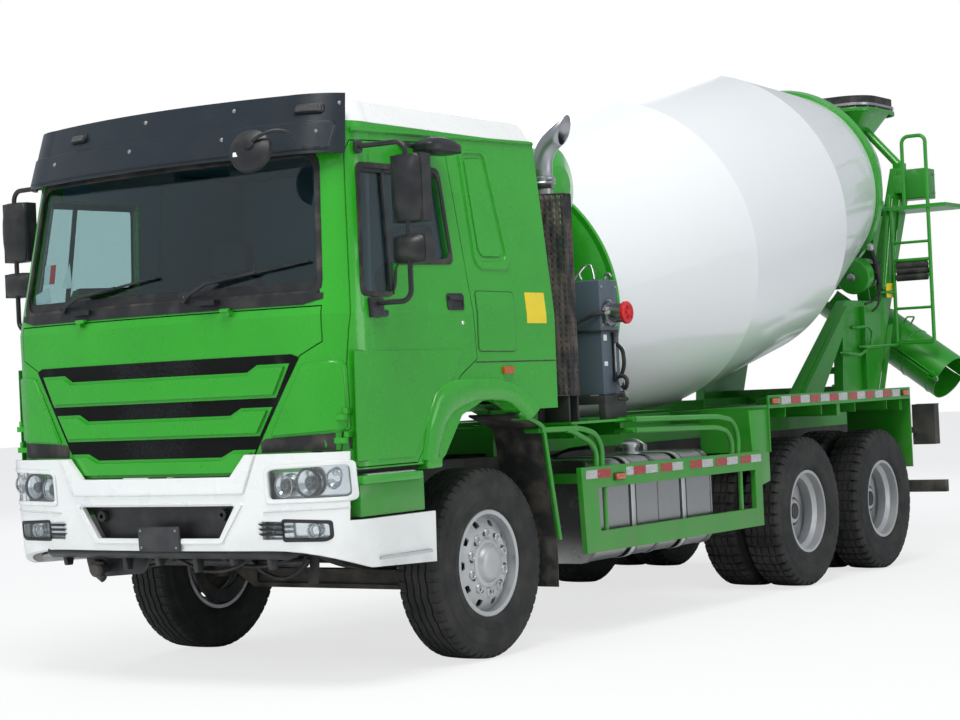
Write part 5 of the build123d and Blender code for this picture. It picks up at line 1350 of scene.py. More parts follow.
# %% Cooler
piece("cooler_cowl", box(0.644, 1.066, 1.473, 1.677, 1.86, 2.186), "grey_paint", bevel=0.01, segments=3)
piece("cooler_seam", box(0.64, 1.07, 1.469, 1.681, 1.852, 1.866), "chassis_paint", bevel=0.003)
piece("cooler_frame", [box(0.64, 1.09, 1.44, 1.7, 1.4, 1.455), box(0.64, 0.69, 1.44, 1.7, 1.305, 1.405),
        box(1.04, 1.09, 1.44, 1.7, 1.305, 1.405)], "chassis_paint", bevel=0.004)
FILTER = at(1.06, 1.56, 1.97)
barrel = [(0, 0), (0, 0.066), (0.018, 0.066), (0.018, 0.078), (0.034, 0.078), (0.034, 0.06), (0.118, 0.06),
    (0.124, 0.064), (0.132, 0.064), (0.132, 0)]
piece("filter_barrel", lathe(barrel, FILTER, (1, 0, 0), 48), "tank_aluminium")
cap = [(0.128, 0), (0.128, 0.064), (0.132, 0.068), (0.15, 0.069), (0.158, 0.063), (0.16, 0.05),
    (0.152, 0.042), (0.152, 0.02), (0.164, 0.016), (0.166, 0)]
ribs = [tube([FILTER + Vector((0.13, 0.068 * cos(t), 0.068 * sin(t))),
            FILTER + Vector((0.153, 0.068 * cos(t), 0.068 * sin(t)))], 0.003, 0, 6)
    for t in (k * pi / 15 for k in range(30))]
spoke, spoke_faces = block(Vector((0.15, -0.004, 0.016)), Vector((0.16, 0.004, 0.048)))
spokes = [([FILTER + Matrix.Rotation(k * pi / 3, 3, "X") @ v for v in spoke], spoke_faces)
    for k in range(6)]
piece("filter_cap", [lathe(cap, FILTER, (1, 0, 0), 48), *ribs, *spokes], "red_cap")
piece("filter_studs", ring_bolts(FILTER + Vector((0.018, 0, 0)), (1, 0, 0), 0.082, 6, 0.008, 0.026),
    "worn_steel")
piece("cooler_hose", bar([(0.8, 1.478, 1.79), (0.815, 1.452, 1.84), (0.88, 1.442, 1.9), (0.96, 1.44, 1.94),
            (1.05, 1.455, 1.968), (1.1, 1.5, 1.975)], 0.012, 0.05, 12), "rubber")
piece("cooler_hose_ends", [bar([(0.798, 1.49, 1.77), (0.802, 1.474, 1.8)], 0.017, 0, 6),
        bar([(1.085, 1.486, 1.973), (1.11, 1.51, 1.976)], 0.017, 0, 6)], "worn_steel")
# sight glass with its guard, and the drain hoses below it
sight = [box(1.06, 1.078, 1.6, 1.622, 1.56, 1.83), box(1.06, 1.086, 1.592, 1.63, 1.54, 1.566),
    box(1.06, 1.086, 1.592, 1.63, 1.822, 1.85)]
piece("sight_glass_frame", sight, "black_plastic", bevel=0.003)
piece("sight_glass", box(1.076, 1.081, 1.604, 1.618, 1.6, 1.78), "white_lens", bevel=0.002)
piece("cooler_tags", [box(1.0605, 1.064, 1.5, 1.54, 1.8, 1.838),
        box(1.0605, 1.064, 1.5, 1.54, 1.64, 1.668)], "paper_label", bevel=0.001)
loops = [bar([(1.07, 1.64, 1.78), (1.11, 1.65, 1.74), (1.12, 1.65, 1.64), (1.085, 1.65, 1.56),
            (1.11, 1.64, 1.49), (1.15, 1.61, 1.5), (1.165, 1.6, 1.55), (1.13, 1.6, 1.58),
            (1.085, 1.6, 1.56)], 0.013, 0.05, 10),
    bar([(1.11, 1.64, 1.47), (1.06, 1.56, 1.43), (0.96, 1.47, 1.425), (0.8, 1.45, 1.43),
            (0.7, 1.445, 1.47)], 0.014, 0.05, 10),
    bar([(1.12, 1.6, 1.44), (1.2, 1.54, 1.425), (1.15, 1.5, 1.43)], 0.012, 0.04, 10)]
piece("drain_hoses", loops, "rubber")
valve = [lathe([(0, 0), (0, 0.022), (0.03, 0.022), (0.03, 0.014), (0.048, 0.014), (0.048, 0)],
        at(1.1, 1.615, 1.56), (0, 0, -1), 16),
    box(1.08, 1.15, 1.59, 1.64, 1.455, 1.47)]
piece("drain_valve", valve, "worn_steel")
piece("cooler_bolts", [bolt(at(1.066, y, z), (1, 0, 0), 0.01, 0.006) for y in (1.49, 1.66)
        for z in (1.9, 2.14)], "worn_steel")
# lifting eye, and the cord looped through it
piece("cooler_eye", bar([(1.04, 1.575, 2.18), (1.05, 1.575, 2.215), (1.08, 1.575, 2.225),
            (1.095, 1.575, 2.2)], 0.01, 0.02, 10), "worn_steel")
bail = [at(0.86, 1.5, 2.186), at(0.905, 1.53, 2.262), at(0.96, 1.55, 2.292), at(0.985, 1.535, 2.25),
    at(1.01, 1.51, 2.188)]
piece("cooler_bail", [tube(bail, 0.007, 0.03, 10),
        bar([(0.935, 1.545, 2.285), (0.9, 1.5, 2.23), (0.93, 1.49, 2.19)], 0.006, 0.03, 8)], "worn_steel")
print("cooler done", len(MADE), "pieces")


# %% [markdown]
# ## Fuel tank
# The tank is bare aluminium, held down by two steel straps over rubber strips. Its filler stands
# on top, with a locking cap. A strap is a closed band that follows the tank's own rounded
# section, so the section is drawn once and offset for the rubber and for the strap.

# %% Tank straps
TANK_LOW, TANK_HIGH = Vector(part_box("fuel_tank")[0]), Vector(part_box("fuel_tank")[1])
TANK_X0 = 0.52


def tank_section(by):
    """The tank's section, grown by a distance."""
    return grown((TANK_X0, TANK_LOW.z), (TANK_HIGH.x, TANK_HIGH.z), 0.13, by)


def tank_band(name, stations, width, out, thick, look, bevel=0):
    """Bands round the tank: out is how far they stand off it."""
    for k, y in enumerate(stations):
        strap = band(tank_section, out, thick, (-width / 2, width / 2), lambda u, v, w: at(u, y + w, v))
        piece(f"{name}_{k + 1}", strap, look, bevel=bevel)


STRAPS = (1.62, 2.28)
tank_band("tank_rubber", STRAPS, 0.086, 0.0005, 0.003, "rubber")
tank_band("tank_strap", STRAPS, 0.05, 0.003, 0.003, "tread_aluminium", 0.001)
tank_band("tank_seam", (1.165, 1.95, 2.665), 0.014, -0.001, 0.005, "tank_aluminium")
print("tank straps", len(STRAPS))

# %% [markdown]
# The filler cap is a turned neck with a hinged lid, a latch bar across it, and a short chain pin.

# %% Filler
NECK = at(0.85, 2.13, TANK_HIGH.z - 0.004)
neck = [(0, 0), (0, 0.07), (0.016, 0.07), (0.016, 0.056), (0.046, 0.056), (0.046, 0.068), (0.07, 0.066),
    (0.082, 0.05), (0.086, 0)]
piece("filler_neck", lathe(neck, NECK, (0, 0, 1), 40), "tread_aluminium")
lever = [tube([NECK + Vector((-0.085, -0.01, 0.052)), NECK + Vector((-0.02, 0, 0.094)),
            NECK + Vector((0.05, 0.005, 0.096)), NECK + Vector((0.105, 0.01, 0.06))], 0.01, 0.03, 8),
    block(NECK + Vector((-0.1, -0.03, 0.02)), NECK + Vector((-0.062, 0.02, 0.06))),
    block(NECK + Vector((0.085, -0.02, 0.02)), NECK + Vector((0.115, 0.03, 0.066)))]
piece("filler_latch", lever, "worn_steel", bevel=0.003)
piece("tank_sender", lathe([(0, 0), (0, 0.045), (0.01, 0.045), (0.014, 0.03), (0.03, 0.03), (0.03, 0)],
        at(0.82, 1.82, TANK_HIGH.z - 0.002), (0, 0, 1), 24), "black_plastic")
piece("tank_hoses", [bar([(0.82, 1.82, 1.085), (0.78, 1.76, 1.12), (0.64, 1.7, 1.11), (0.47, 1.69, 1.06)],
            0.01, 0.05, 8),
        bar([(0.8, 1.83, 1.085), (0.74, 1.83, 1.13), (0.56, 1.78, 1.11), (0.47, 1.76, 1.04)], 0.008, 0.05,
            8)], "rubber")

# %% [markdown]
# ## Side guard
# The guard keeps people from falling under the lorry. It carries the red and white reflecting
# plates and two side marker lamps, and four bent handrails rise behind it.

# %% Handrails
RAIL_ROUTES = {"front_outer": [(0.5, 1.273), (0.945, 1.266), (1.117, 1.228), (1.188, 1.143),
        (1.178, 1.005)], "front_inner": [(0.78, 1.262), (0.83, 1.26), (1.054, 1.18), (1.119, 1.116),
        (1.112, 1.005)], "rear_outer": [(1.6, 1.296), (2.706, 1.274), (2.921, 1.244), (3.0, 1.149),
        (2.988, 1.005)], "rear_inner": [(1.6, 1.228), (2.699, 1.202), (2.841, 1.174), (2.906, 1.096),
        (2.899, 1.005)]}
for side_name, side in SIDES:
    rails = [bar([(side * 1.2, y, z) for y, z in route], 0.018, 0.07, 14) for route in RAIL_ROUTES.values()]
    rails += [bar([(side * 1.212, y, 0.895), (side * 1.212, y, 0.628)], 0.016, 0, 12)
        for y in (1.18, 2.985)]
    rails += [bar([(side * 1.2, 0.5, 1.273), (side * 1.1, 0.5, 1.273)], 0.018, 0, 12),
        bar([(side * 1.2, 1.6, 1.296), (side * 1.06, 1.6, 1.296)], 0.018, 0, 12),
        bar([(side * 1.2, 1.6, 1.228), (side * 1.06, 1.6, 1.228)], 0.018, 0, 12)]
    piece(f"handrails_{side_name}", rails, "green_frame")
print("handrails", 2 * len(RAIL_ROUTES))

# %% Reflectors
GUARD_FACE, PLATE = 1.24, 0.0025
ROW_Z, ROW_SLOPE = 0.984, -0.0066
SIDE_ROW = [("w", 0.923, 1.056), ("r", 1.06, 1.216), ("w", 1.402, 1.491), ("r", 1.495, 1.641),
    ("w", 1.645, 1.797), ("r", 1.84, 1.986), ("w", 1.99, 2.13), ("r", 2.231, 2.389), ("w", 2.393, 2.545),
    ("r", 2.593, 2.744), ("w", 2.748, 2.902), ("r", 2.951, 3.099), ("w", 3.103, 3.254)]
SHELF_ROW = [("w" if k % 2 == 0 else "r", y - 0.074, y + 0.074)
    for k, y in enumerate((3.691, 3.855, 4.004, 4.173, 4.345, 4.502, 4.662, 4.844, 4.991, 5.16, 5.331,
            5.487, 5.664))]


def reflector_row(name, row, z0, slope, half, side):
    """Thin reflecting plates along a side, white and red by turns."""
    for kind, look in (("w", "white_lens"), ("r", "red_lens")):
        plates = []
        for tone, y0, y1 in row:
            if tone == kind:
                z = z0 + slope * ((y0 + y1) / 2 - row[0][1])
                plates.append(box(side * GUARD_FACE, side * (GUARD_FACE + PLATE), y0, y1, z - half,
                        z + half))
        piece(f"{name}_{'white' if kind == 'w' else 'red'}", plates, look, bevel=0.0008, segments=1)


def side_marker(name, y, z, side):
    """An orange lamp in a dark base."""
    inner, base, lens = (side * (GUARD_FACE + out) for out in (0, 0.01, 0.026))
    piece(f"{name}_base", box(inner, base, y - 0.062, y + 0.062, z - 0.024, z + 0.024), "black_plastic",
        bevel=0.004)
    piece(f"{name}_lens", box(inner, lens, y - 0.05, y + 0.05, z - 0.018, z + 0.018), "orange_lens",
        bevel=0.008, segments=3)


for side_name, side in SIDES:
    reflector_row(f"guard_reflectors_{side_name}", SIDE_ROW, ROW_Z, ROW_SLOPE, 0.026, side)
    reflector_row(f"shelf_reflectors_{side_name}", SHELF_ROW, 1.357, 0, 0.028, side)
    side_marker(f"guard_marker_{side_name}", 1.307, 0.955, side)
    side_marker(f"shelf_marker_front_{side_name}", 3.5, 1.355, side)
    side_marker(f"shelf_marker_rear_{side_name}", 5.825, 1.355, side)
rivets = [bolt(at(side * (GUARD_FACE + PLATE), y0 + 0.012, ROW_Z + ROW_SLOPE * (y0 - SIDE_ROW[0][1])),
        (side, 0, 0), 0.004, 0.002) for _, side in SIDES for _, y0, _ in SIDE_ROW]
piece("reflector_rivets", rivets, "worn_steel")
print("reflectors", 2 * (len(SIDE_ROW) + len(SHELF_ROW)))

# %% [markdown]
# ## Mudguards and shelf brackets
# Behind each front wheel a rubber guard hangs in a green edging strip, and a flap closes its
# foot. The strip is a narrow band along the guard's own outline, swept across its outer edge.

# %% Front mudguard edging
EDGE_LINE = [(0.262, 1.386), (0.521, 1.296), (0.598, 0.9), (0.652, 0.62)]
for side_name, side in SIDES:
    strip = []
    for (y0, z0), (y1, z1) in zip(EDGE_LINE, EDGE_LINE[1:]):
        corners = [(y0, z0), (y1, z1), (y1 + 0.012, z1 + 0.004), (y0 + 0.012, z0 + 0.006)]
        strip.append(side_plate(corners, side * 1.14, side * 1.212))
    piece(f"mudguard_edging_{side_name}", strip, "green_frame", bevel=0.003)
    lip = bar([(side * 1.208, y, z) for y, z in EDGE_LINE], 0.014, 0.05, 10)
    piece(f"mudguard_lip_{side_name}", lip, "green_frame")
    piece(f"mud_flap_{side_name}", box(side * 0.88, side * 1.18, 0.634, 0.642, 0.345, 0.64),
        "mudguard_rubber", bevel=0.002)
    piece(f"flap_bolts_{side_name}", [bolt(at(side * x, 0.642, 0.6), (0, 1, 0), 0.011, 0.008)
            for x in (0.93, 1.03, 1.13)], "worn_steel")
    # ribs under the rear shelf, its bolted brackets, and the panel that closes its front
    brackets = [box(side * 0.7, side * 1.225, y, y + 0.008, 1.235, 1.31) for y in (3.7, 4.3, 4.9, 5.5)]
    piece(f"shelf_ribs_{side_name}", brackets, "green_frame")
    gusset = [(3.409, 1.3), (3.409, 0.8), (3.18, 0.76), (3.12, 1.3)]
    piece(f"shelf_gusset_{side_name}", side_plate(gusset, side * 1.222, side * 1.23), "green_frame",
        bevel=0.002)
print("mudguards done")


# %% [markdown]
# ## Drum stand and ladder
# At the rear a leaning post, a roller guard and a bracket stiffen each side plate. The left
# plate also carries the hand lever that works the drum from the ground, and the ladder. These
# are pressed plates and bent bars, so slabs with bevelled edges and tubes are enough.

# %% Plates and posts on the stand
for side_name, side in SIDES:
    face = side * 0.68
    post = [(6.995, 3.046), (7.19, 3.06), (7.215, 3.0), (6.96, 2.223), (6.727, 2.223)]
    piece(f"stand_post_{side_name}", side_plate(rounded(post, 0.05), face, side * 0.715), "green_frame",
        bevel=0.006, segments=3)
    rail = [bar([(side * 0.72, top, 3.01), (side * 0.72, foot, 2.24)], 0.01, 0, 8)
        for top, foot in ((7.01, 6.765), (7.165, 6.93))]
    piece(f"post_edges_{side_name}", rail, "green_frame")
    piece(f"stand_bracket_{side_name}", [box(side * 0.684, side * 0.96, 7.19, 7.4, 3.01, 3.27),
            box(side * 0.69, side * 0.76, 7.12, 7.2, 3.06, 3.22)], "green_frame", bevel=0.01, segments=3)
    piece(f"bracket_bolts_{side_name}", [bolt(at(side * 0.96, y, z), (side, 0, 0), 0.012, 0.012)
            for y in (7.23, 7.36) for z in (3.06, 3.22)], "worn_steel")
    guard_turned = [(-0.06, 0), (-0.06, 0.142), (-0.052, 0.15), (0.052, 0.15), (0.06, 0.142), (0.06, 0)]
    piece(f"roller_guard_{side_name}", lathe(guard_turned, at(side * 0.6, 6.43, 2.345), (0, 0.976, 0.217),
            40), "green_frame")
    piece(f"roller_pin_{side_name}", lathe([(0, 0), (0, 0.036), (0.03, 0.036), (0.034, 0.028), (0.034, 0)],
            at(side * 0.6, 6.37, 2.332), (0, -0.976, -0.217), 24), "worn_steel")
    stiff = [side_plate([(y0, z0), (y1, z1), (y1 + 0.012, z1), (y0 + 0.012, z0)], face, face + side * 0.045)
        for (y0, z0), (y1, z1) in (((5.0, 1.312), (5.96, 2.08)), ((6.3, 1.312), (6.3, 2.08)),
            ((6.61, 1.32), (6.88, 1.93)))]
    piece(f"stand_stiffeners_{side_name}", stiff, "green_frame")
    piece(f"stand_feet_bolts_{side_name}", [bolt(at(side * 0.64, y, 1.366), (0, 0, 1), 0.016, 0.018)
            for y in (5.02, 5.16, 5.3, 5.96, 6.15, 6.38, 6.54)], "worn_steel")
print("stand plates done")

# %% Hand lever, loop and ladder fittings
lever = [bar([(0.735, 6.482, 2.552), (0.745, 6.52, 2.47), (0.745, 6.56, 2.38), (0.74, 6.61, 2.243)], 0.02,
        0.03, 12),
    lathe([(0, 0), (0, 0.034), (0.1, 0.03), (0.1, 0)], at(0.745, 6.545, 2.44), (0, 0.3, -0.95), 16),
    bar([(0.745, 6.6, 2.27), (0.74, 6.56, 2.18), (0.735, 6.46, 2.12), (0.7, 6.38, 2.1)], 0.01, 0.05, 8),
    bar([(0.745, 6.61, 2.26), (0.74, 6.6, 2.16), (0.735, 6.56, 2.08), (0.7, 6.52, 2.04)], 0.01, 0.05, 8),
    box(0.68, 0.745, 6.53, 6.575, 2.36, 2.44)]
piece("hand_lever", lever, "rubber")
piece("lever_grip", lathe([(0, 0), (0, 0.02), (0.012, 0.03), (0.05, 0.03), (0.062, 0.018), (0.062, 0)],
        at(0.735, 6.478, 2.548), (0, -0.3, 0.95), 20), "worn_steel")
tag = rounded([(6.775, 2.28), (6.955, 2.285), (6.945, 2.16), (6.8, 2.157)], 0.02)
piece("lever_tag", side_plate(tag, 0.7155, 0.7215), "yellow_label", bevel=0.002)
loop = [(5.908, 1.695), (6.163, 1.676), (6.395, 1.757), (6.429, 1.874), (6.332, 1.915), (6.16, 1.905)]
for side_name, side in SIDES:
    route = [at(side * 0.682, 5.88, 1.695)] + [at(side * 0.735, y, z)
        for y, z in loop] + [at(side * 0.682, 6.12, 1.905)]
    piece(f"hand_loop_{side_name}", tube(route, 0.014, 0.05, 12), "green_frame")
left_rail, right_rail = 0.745, 1.078
bars = [bar([(left_rail, 6.915, 1.752), (left_rail, 6.26, 1.742), (0.69, 6.24, 1.742)], 0.015, 0.04, 12),
    bar([(left_rail, 6.915, 1.765), (right_rail, 6.915, 1.765)], 0.015, 0, 12),
    bar([(left_rail, 6.915, 2.468), (right_rail, 6.915, 2.468)], 0.016, 0, 12),
    bar([(left_rail, 6.915, 2.205), (0.69, 6.7, 2.205)], 0.012, 0, 10)]
piece("ladder_bars", bars, "green_frame")
roll = [bar([(left_rail + 0.03, 6.915 + dy, z), (right_rail - 0.03, 6.915 + dy, z)], r, 0, 18)
    for dy, z, r in ((0, 2.425, 0.03), (0.006, 2.376, 0.032), (-0.004, 2.322, 0.03), (0.02, 2.35, 0.026))]
piece("step_roll", roll, "rubber")
TREAD_PITCH = (0.053, 0.054)
edge = [at(0.69, 6.905, 2.925), at(1.232, 6.905, 2.925), at(1.232, 7.372, 2.925), at(0.69, 7.372, 2.925)]
piece("platform_edge", tube(edge + [edge[0]], 0.01, 0.02, 8), "green_frame")
plates = [slab([(-0.02, -0.004), (0, -0.007), (0.02, -0.004), (0.02, 0.004), (0, 0.007), (-0.02, 0.004)],
        0.003, lambda u, v, w, cx=cx, cy=cy, k=k: at(cx + (u if k else v), cy + (v if k else u),
            2.9205 + w)) for i in range(10) for j in range(8) for k in ((i + j) % 2,)
    for cx, cy in ((0.725 + i * TREAD_PITCH[0], 6.945 + j * TREAD_PITCH[1]),)]
piece("platform_treads", plates, "green_frame")
print("ladder done, treads", len(plates))

# %% [markdown]
# ## Hopper and chute
# The hopper's rubber collar is held by a bolted rim. The chute is a half-round gutter, with a
# bead rolled along each edge and hoops round its back; a second length is folded over it. The
# beads ride on the body of their own gutter, so they move when it swings, tilts or unfolds.

# %% Hopper rim
collar_low, collar_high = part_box("hopper_collar")
COLLAR_CORNER = 0.235


def collar_band(name, back, z0, z1, out, thick, look, bevel=0):
    """A band round the collar; back keeps its rear inside the end of the truck."""
    section = lambda by: grown(collar_low.xy, (collar_high.x, collar_high.y - back), COLLAR_CORNER, by)
    ends = (collar_low.z + z0, collar_low.z + z1)
    piece(name, band(section, out, thick, ends, lambda u, v, w: Vector((u, v, w))), look, bevel=bevel)


collar_band("hopper_rim", 0.018, -0.03, 0.004, 0.001, 0.014, "green_frame", 0.003)
collar_band("collar_clamp", 0.006, 0.024, 0.046, 0.0005, 0.004, "worn_steel")
(x0, y0), (x1, y1) = collar_low.xy - Vector((0.008, 0.008)), collar_high.xy + Vector((0.008, -0.014))
bolts = [bolt(Vector((x, y, collar_low.z + 0.004)), (0, 0, 1), 0.008, 0.008)
    for x, y in rounded([(x0, y0), (x1, y0), (x1, y1), (x0, y1)], 0.24, 3)]
piece("rim_bolts", bolts, "worn_steel")
print("hopper rim with", len(bolts), "bolts")

# %% Chute edges and hoops
joints = {joint["name"]: joint for joint in frame["record"]["behaviour"]["joints"]}
CHUTE_PIVOT = Vector(joints["chute_tilt"]["pos_m"])
CHUTE_TIP = Vector(joints["chute_extension_hinge"]["pos_m"])
ACROSS = Vector(joints["chute_tilt"]["axis"]).normalized()
DOWN_CHUTE = (CHUTE_TIP - CHUTE_PIVOT).normalized()
UP_CHUTE = DOWN_CHUTE.cross(ACROSS)
UP_CHUTE = UP_CHUTE if UP_CHUTE.z > 0 else -UP_CHUTE
GUTTER_R = 0.2


def gutter_trim(name, body, start, end, side, hoops):
    """Beads along a gutter's edges and hoops round its back; side is 1 below, -1 above."""
    spot = lambda s, across, up: CHUTE_PIVOT + DOWN_CHUTE * s + ACROSS * across + UP_CHUTE * up
    parts = [tube([spot(s, w * (GUTTER_R + 0.002), -side * 0.014) for s in (start, end)], 0.009, 0, 8)
        for w in (-1, 1)]
    for s in hoops:
        arc = [spot(s, (GUTTER_R + 0.001) * cos(t), -side * (GUTTER_R + 0.001) * sin(t))
            for t in (0.08 + k * (pi - 0.16) / 20 for k in range(21))]
        parts.append(tube(arc, 0.006, 0, 6))
    piece(name, parts, "green_frame", body)


tip_along = (CHUTE_TIP - CHUTE_PIVOT).dot(DOWN_CHUTE)
gutter_trim("chute_beads", "chute", -0.495, tip_along - 0.004, 1, (-0.48, 0.3, 0.62, tip_along - 0.1))
gutter_trim("extension_beads", "chute_extension", tip_along - 0.822, tip_along - 0.07, -1,
    (tip_along - 0.81, tip_along - 0.45))
pin = [lathe([(0, 0), (0, 0.026), (0.012, 0.026), (0.016, 0.018), (0.016, 0)],
        CHUTE_TIP + ACROSS * w * 0.219, ACROSS * w, 20) for w in (-1, 1)]
piece("fold_pins", pin, "worn_steel", "chute")
handle = [CHUTE_PIVOT + DOWN_CHUTE * s + ACROSS * a + UP_CHUTE * 0.205
    for s, a in ((tip_along - 0.6, 0.06), (tip_along - 0.6, -0.06))]
lift = UP_CHUTE * 0.045
piece("extension_handle", tube([handle[0] - lift * 0.4, handle[0] + lift, handle[1] + lift,
            handle[1] - lift * 0.4], 0.008, 0.02, 8), "green_frame", "chute_extension")
print("chute points down at", round(math.degrees(math.asin(-DOWN_CHUTE.z)), 1), "degrees")

# %% [markdown]
# ## Tail
# The rear cross member carries the lamp clusters, red and white plates and a blank plate. A
# lamp cluster is a dark housing with three round-cornered lenses.

# %% Tail lamps
for side_name, side in SIDES:
    for k, (z0, z1, look) in enumerate(((1.13, 1.225, "red_lens"), (1.025, 1.12, "orange_lens"),
            (0.92, 1.015, "white_lens"))):
        piece(f"tail_lamp_{side_name}_{k + 1}", box(side * 0.875, side * 1.045, 6.976, 6.992, z0, z1), look,
            bevel=0.012, segments=3)
    piece(f"tail_hood_{side_name}", [box(side * 0.862, side * 1.058, 6.975, 7.0, 1.236, 1.242),
            box(side * 0.862, side * 1.058, 6.975, 6.988, 0.902, 0.906)], "black_plastic")
STRIPES, STRIPE_WIDTH, GAP = 10, 0.22, 0.004
stripes = {"red_lens": [], "white_lens": []}
for k in range(STRIPES):
    x0 = -1.1 + k * STRIPE_WIDTH
    stripes["red_lens" if k % 2 else "white_lens"].append(box(x0 + GAP, x0 + STRIPE_WIDTH - GAP, 6.9005,
            6.903, 0.525, 0.575))
for look, parts in stripes.items():
    piece(f"tail_{look}", parts, look)
piece("tail_plate", cross_plate(rounded([(-0.26, 0.605), (0.26, 0.605), (0.26, 0.725), (-0.26, 0.725)],
            0.012), 6.896, 6.9), "blank_plate", bevel=0.001)
piece("plate_brackets", [box(x, x + 0.03, 6.88, 6.896, 0.6, 0.7) for x in (-0.2, 0.17)], "chassis_paint")
print("tail lamps", 6, "stripes", STRIPES)


# %% [markdown]
# ## Inside the cab
# Through the glass one sees seats, a dashboard and a bunk. A seat pad is foam under cloth: it is
# crowned, and its sides pull in between the corners, which is the form of a superellipsoid. Its
# sewn channels are pressed in afterwards, where the stitching holds the cloth down.

# %% Seat pads
CHANNEL_WIDTH, CHANNEL_DEPTH = 0.045, 0.07


def pad(name, centre, size, tilt=0, squareness=0.3, channels=(), along="x", look="seat_cloth"):
    """A stuffed pad; tilt leans it back, channels are stitched lines as shares of its width."""
    rings, around = 28, 56
    power = lambda value, e: math.copysign(abs(value) ** e, value)
    turn = Matrix.Rotation(tilt, 3, "X")
    verts = []
    for i in range(rings + 1):
        v = -pi / 2 + pi * i / rings
        for k in range(around):
            u = 2 * pi * k / around
            p = Vector((power(cos(v), squareness) * power(cos(u), squareness),
                    power(cos(v), squareness) * power(sin(u), squareness), power(sin(v), squareness)))
            across = p.x if along == "x" else p.z
            press = sum(math.exp(-((across - c) / CHANNEL_WIDTH) ** 2) for c in channels)
            outward = Vector((p.x * 0.2, p.y, p.z)) if along == "x" else Vector((p.x, p.y, p.z * 0.2))
            p = p - outward * CHANNEL_DEPTH * press
            verts.append(Vector(centre) + turn @ Vector((p.x * size[0] / 2, p.y * size[1] / 2,
                        p.z * size[2] / 2)))
    made = piece(name, (verts, net(rings + 1, around, closed=False)), look, smooth_angle=60)
    return made


SEATS = []
for side_name, side in SIDES:
    x = side * 0.68
    SEATS.append(pad(f"seat_pad_{side_name}", at(x, -0.24, 1.66), (0.5, 0.5, 0.15), 0.05,
            channels=(-0.45, 0.45)))
    pad(f"seat_back_{side_name}", at(x, -0.005, 1.985), (0.48, 0.115, 0.62), 0, channels=(-0.5, 0, 0.5),
        along="z")
    pad(f"head_rest_{side_name}", at(x, 0, 2.4), (0.28, 0.1, 0.19), 0)
    posts = [bar([(x + dx, 0, 2.25), (x + dx, 0, 2.33)], 0.007, 0, 8) for dx in (-0.06, 0.06)]
    piece(f"head_rest_posts_{side_name}", posts, "chrome")
    base = [box(x - 0.2, x + 0.2, -0.43, -0.05, 1.442, 1.48),
        box(x - 0.17, x + 0.17, -0.4, -0.08, 1.48, 1.59), box(x - 0.245, x - 0.225, -0.08, 0.03, 1.56, 1.7),
        box(x + 0.225, x + 0.245, -0.08, 0.03, 1.56, 1.7)]
    piece(f"seat_base_{side_name}", base, "black_plastic", bevel=0.008)
bunk = pad("bunk_pad", at(0, 0.365, 1.655), (2.16, 0.46, 0.12), 0, 0.22, channels=(-0.6, -0.2, 0.2, 0.6))
piece("bunk_base", box(-1.095, 1.095, 0.135, 0.6, 1.525, 1.61), "dark_trim", bevel=0.01)
print("seats", len(SEATS))

# %% Lining
# moulded panels hide the sheet metal behind and above the seats; their grey-blue is partly their own colour
# and partly a painted reflection of the sky on the windscreen
back_panel = [(-1.17, 1.62), (1.17, 1.62), (1.172, 1.95), (1.074, 2.94), (-1.074, 2.94), (-1.172, 1.95)]
piece("rear_lining", cross_plate(back_panel, 0.598, 0.608), "lining_and_painted_reflection", bevel=0.003)
roof_panel = rounded([(-1.02, -1.18), (1.02, -1.18), (1.072, -1), (1.072, 0.596), (-1.072, 0.596),
        (-1.072, -1)], 0.03)
piece("roof_lining", slab(roof_panel, 0.01, lambda u, v, w: at(u, v, 2.945 + w)), "lining_and_painted_reflection", bevel=0.003)
for side_name, side in SIDES:
    panel = [(-0.158, 1.63), (0.596, 1.63), (0.596, 2.94), (-0.158, 2.94)]
    trim(f"side_lining_{side_name}", panel, 0.008, on_side(side, -0.062), "lining_and_painted_reflection", bevel=0.002,
        step=0.12)
    card = [(-1.08, 1.62), (-0.172, 1.62), (-0.172, 2.875), (-1, 2.875), (-1, 2.75), (-0.337, 2.75),
        (-0.337, 2.045), (-1.08, 2.045)]
    trim(f"door_lining_{side_name}", card, 0.006, on_side(side, -0.052), "lining_and_painted_reflection", f"door_{side_name}",
        bevel=0.002, step=0.12)
print("lined the cab")

# %% Dashboard
profile = [(-1.325, 1.445), (-1.325, 1.88), (-1.24, 1.935), (-1.05, 1.95), (-0.94, 1.925), (-0.88, 1.8),
    (-0.86, 1.64), (-0.905, 1.56), (-0.905, 1.445)]
dash = piece("dashboard", side_plate(profile, -0.985, 0.985), "dark_trim", bevel=0.014, segments=3)
hood = [(-1.18, 1.93), (-1.1, 1.958), (-0.96, 1.956), (-0.9, 1.935), (-0.905, 1.88), (-1.18, 1.88)]
piece("cluster_hood", side_plate(hood, -0.81, -0.31), "black_plastic", bevel=0.012, segments=3)
dials = [lathe([(0, 0), (0, 0.048), (0.006, 0.052), (0.01, 0.048), (0.01, 0)], at(x, -0.892, 1.868),
        (0, 1, 0.35), 28) for x in (-0.66, -0.46)]
piece("cluster_dials", dials, "chrome")
piece("dash_vents", [box(x, x + 0.16, -0.878, -0.868, 1.76, 1.83) for x in (-0.94, -0.22, 0.02, 0.3, 0.76)],
    "black_plastic", bevel=0.006)
piece("dash_shelf", box(-0.2, 0.35, -0.96, -0.862, 1.6, 1.72), "black_plastic", bevel=0.012, segments=3)
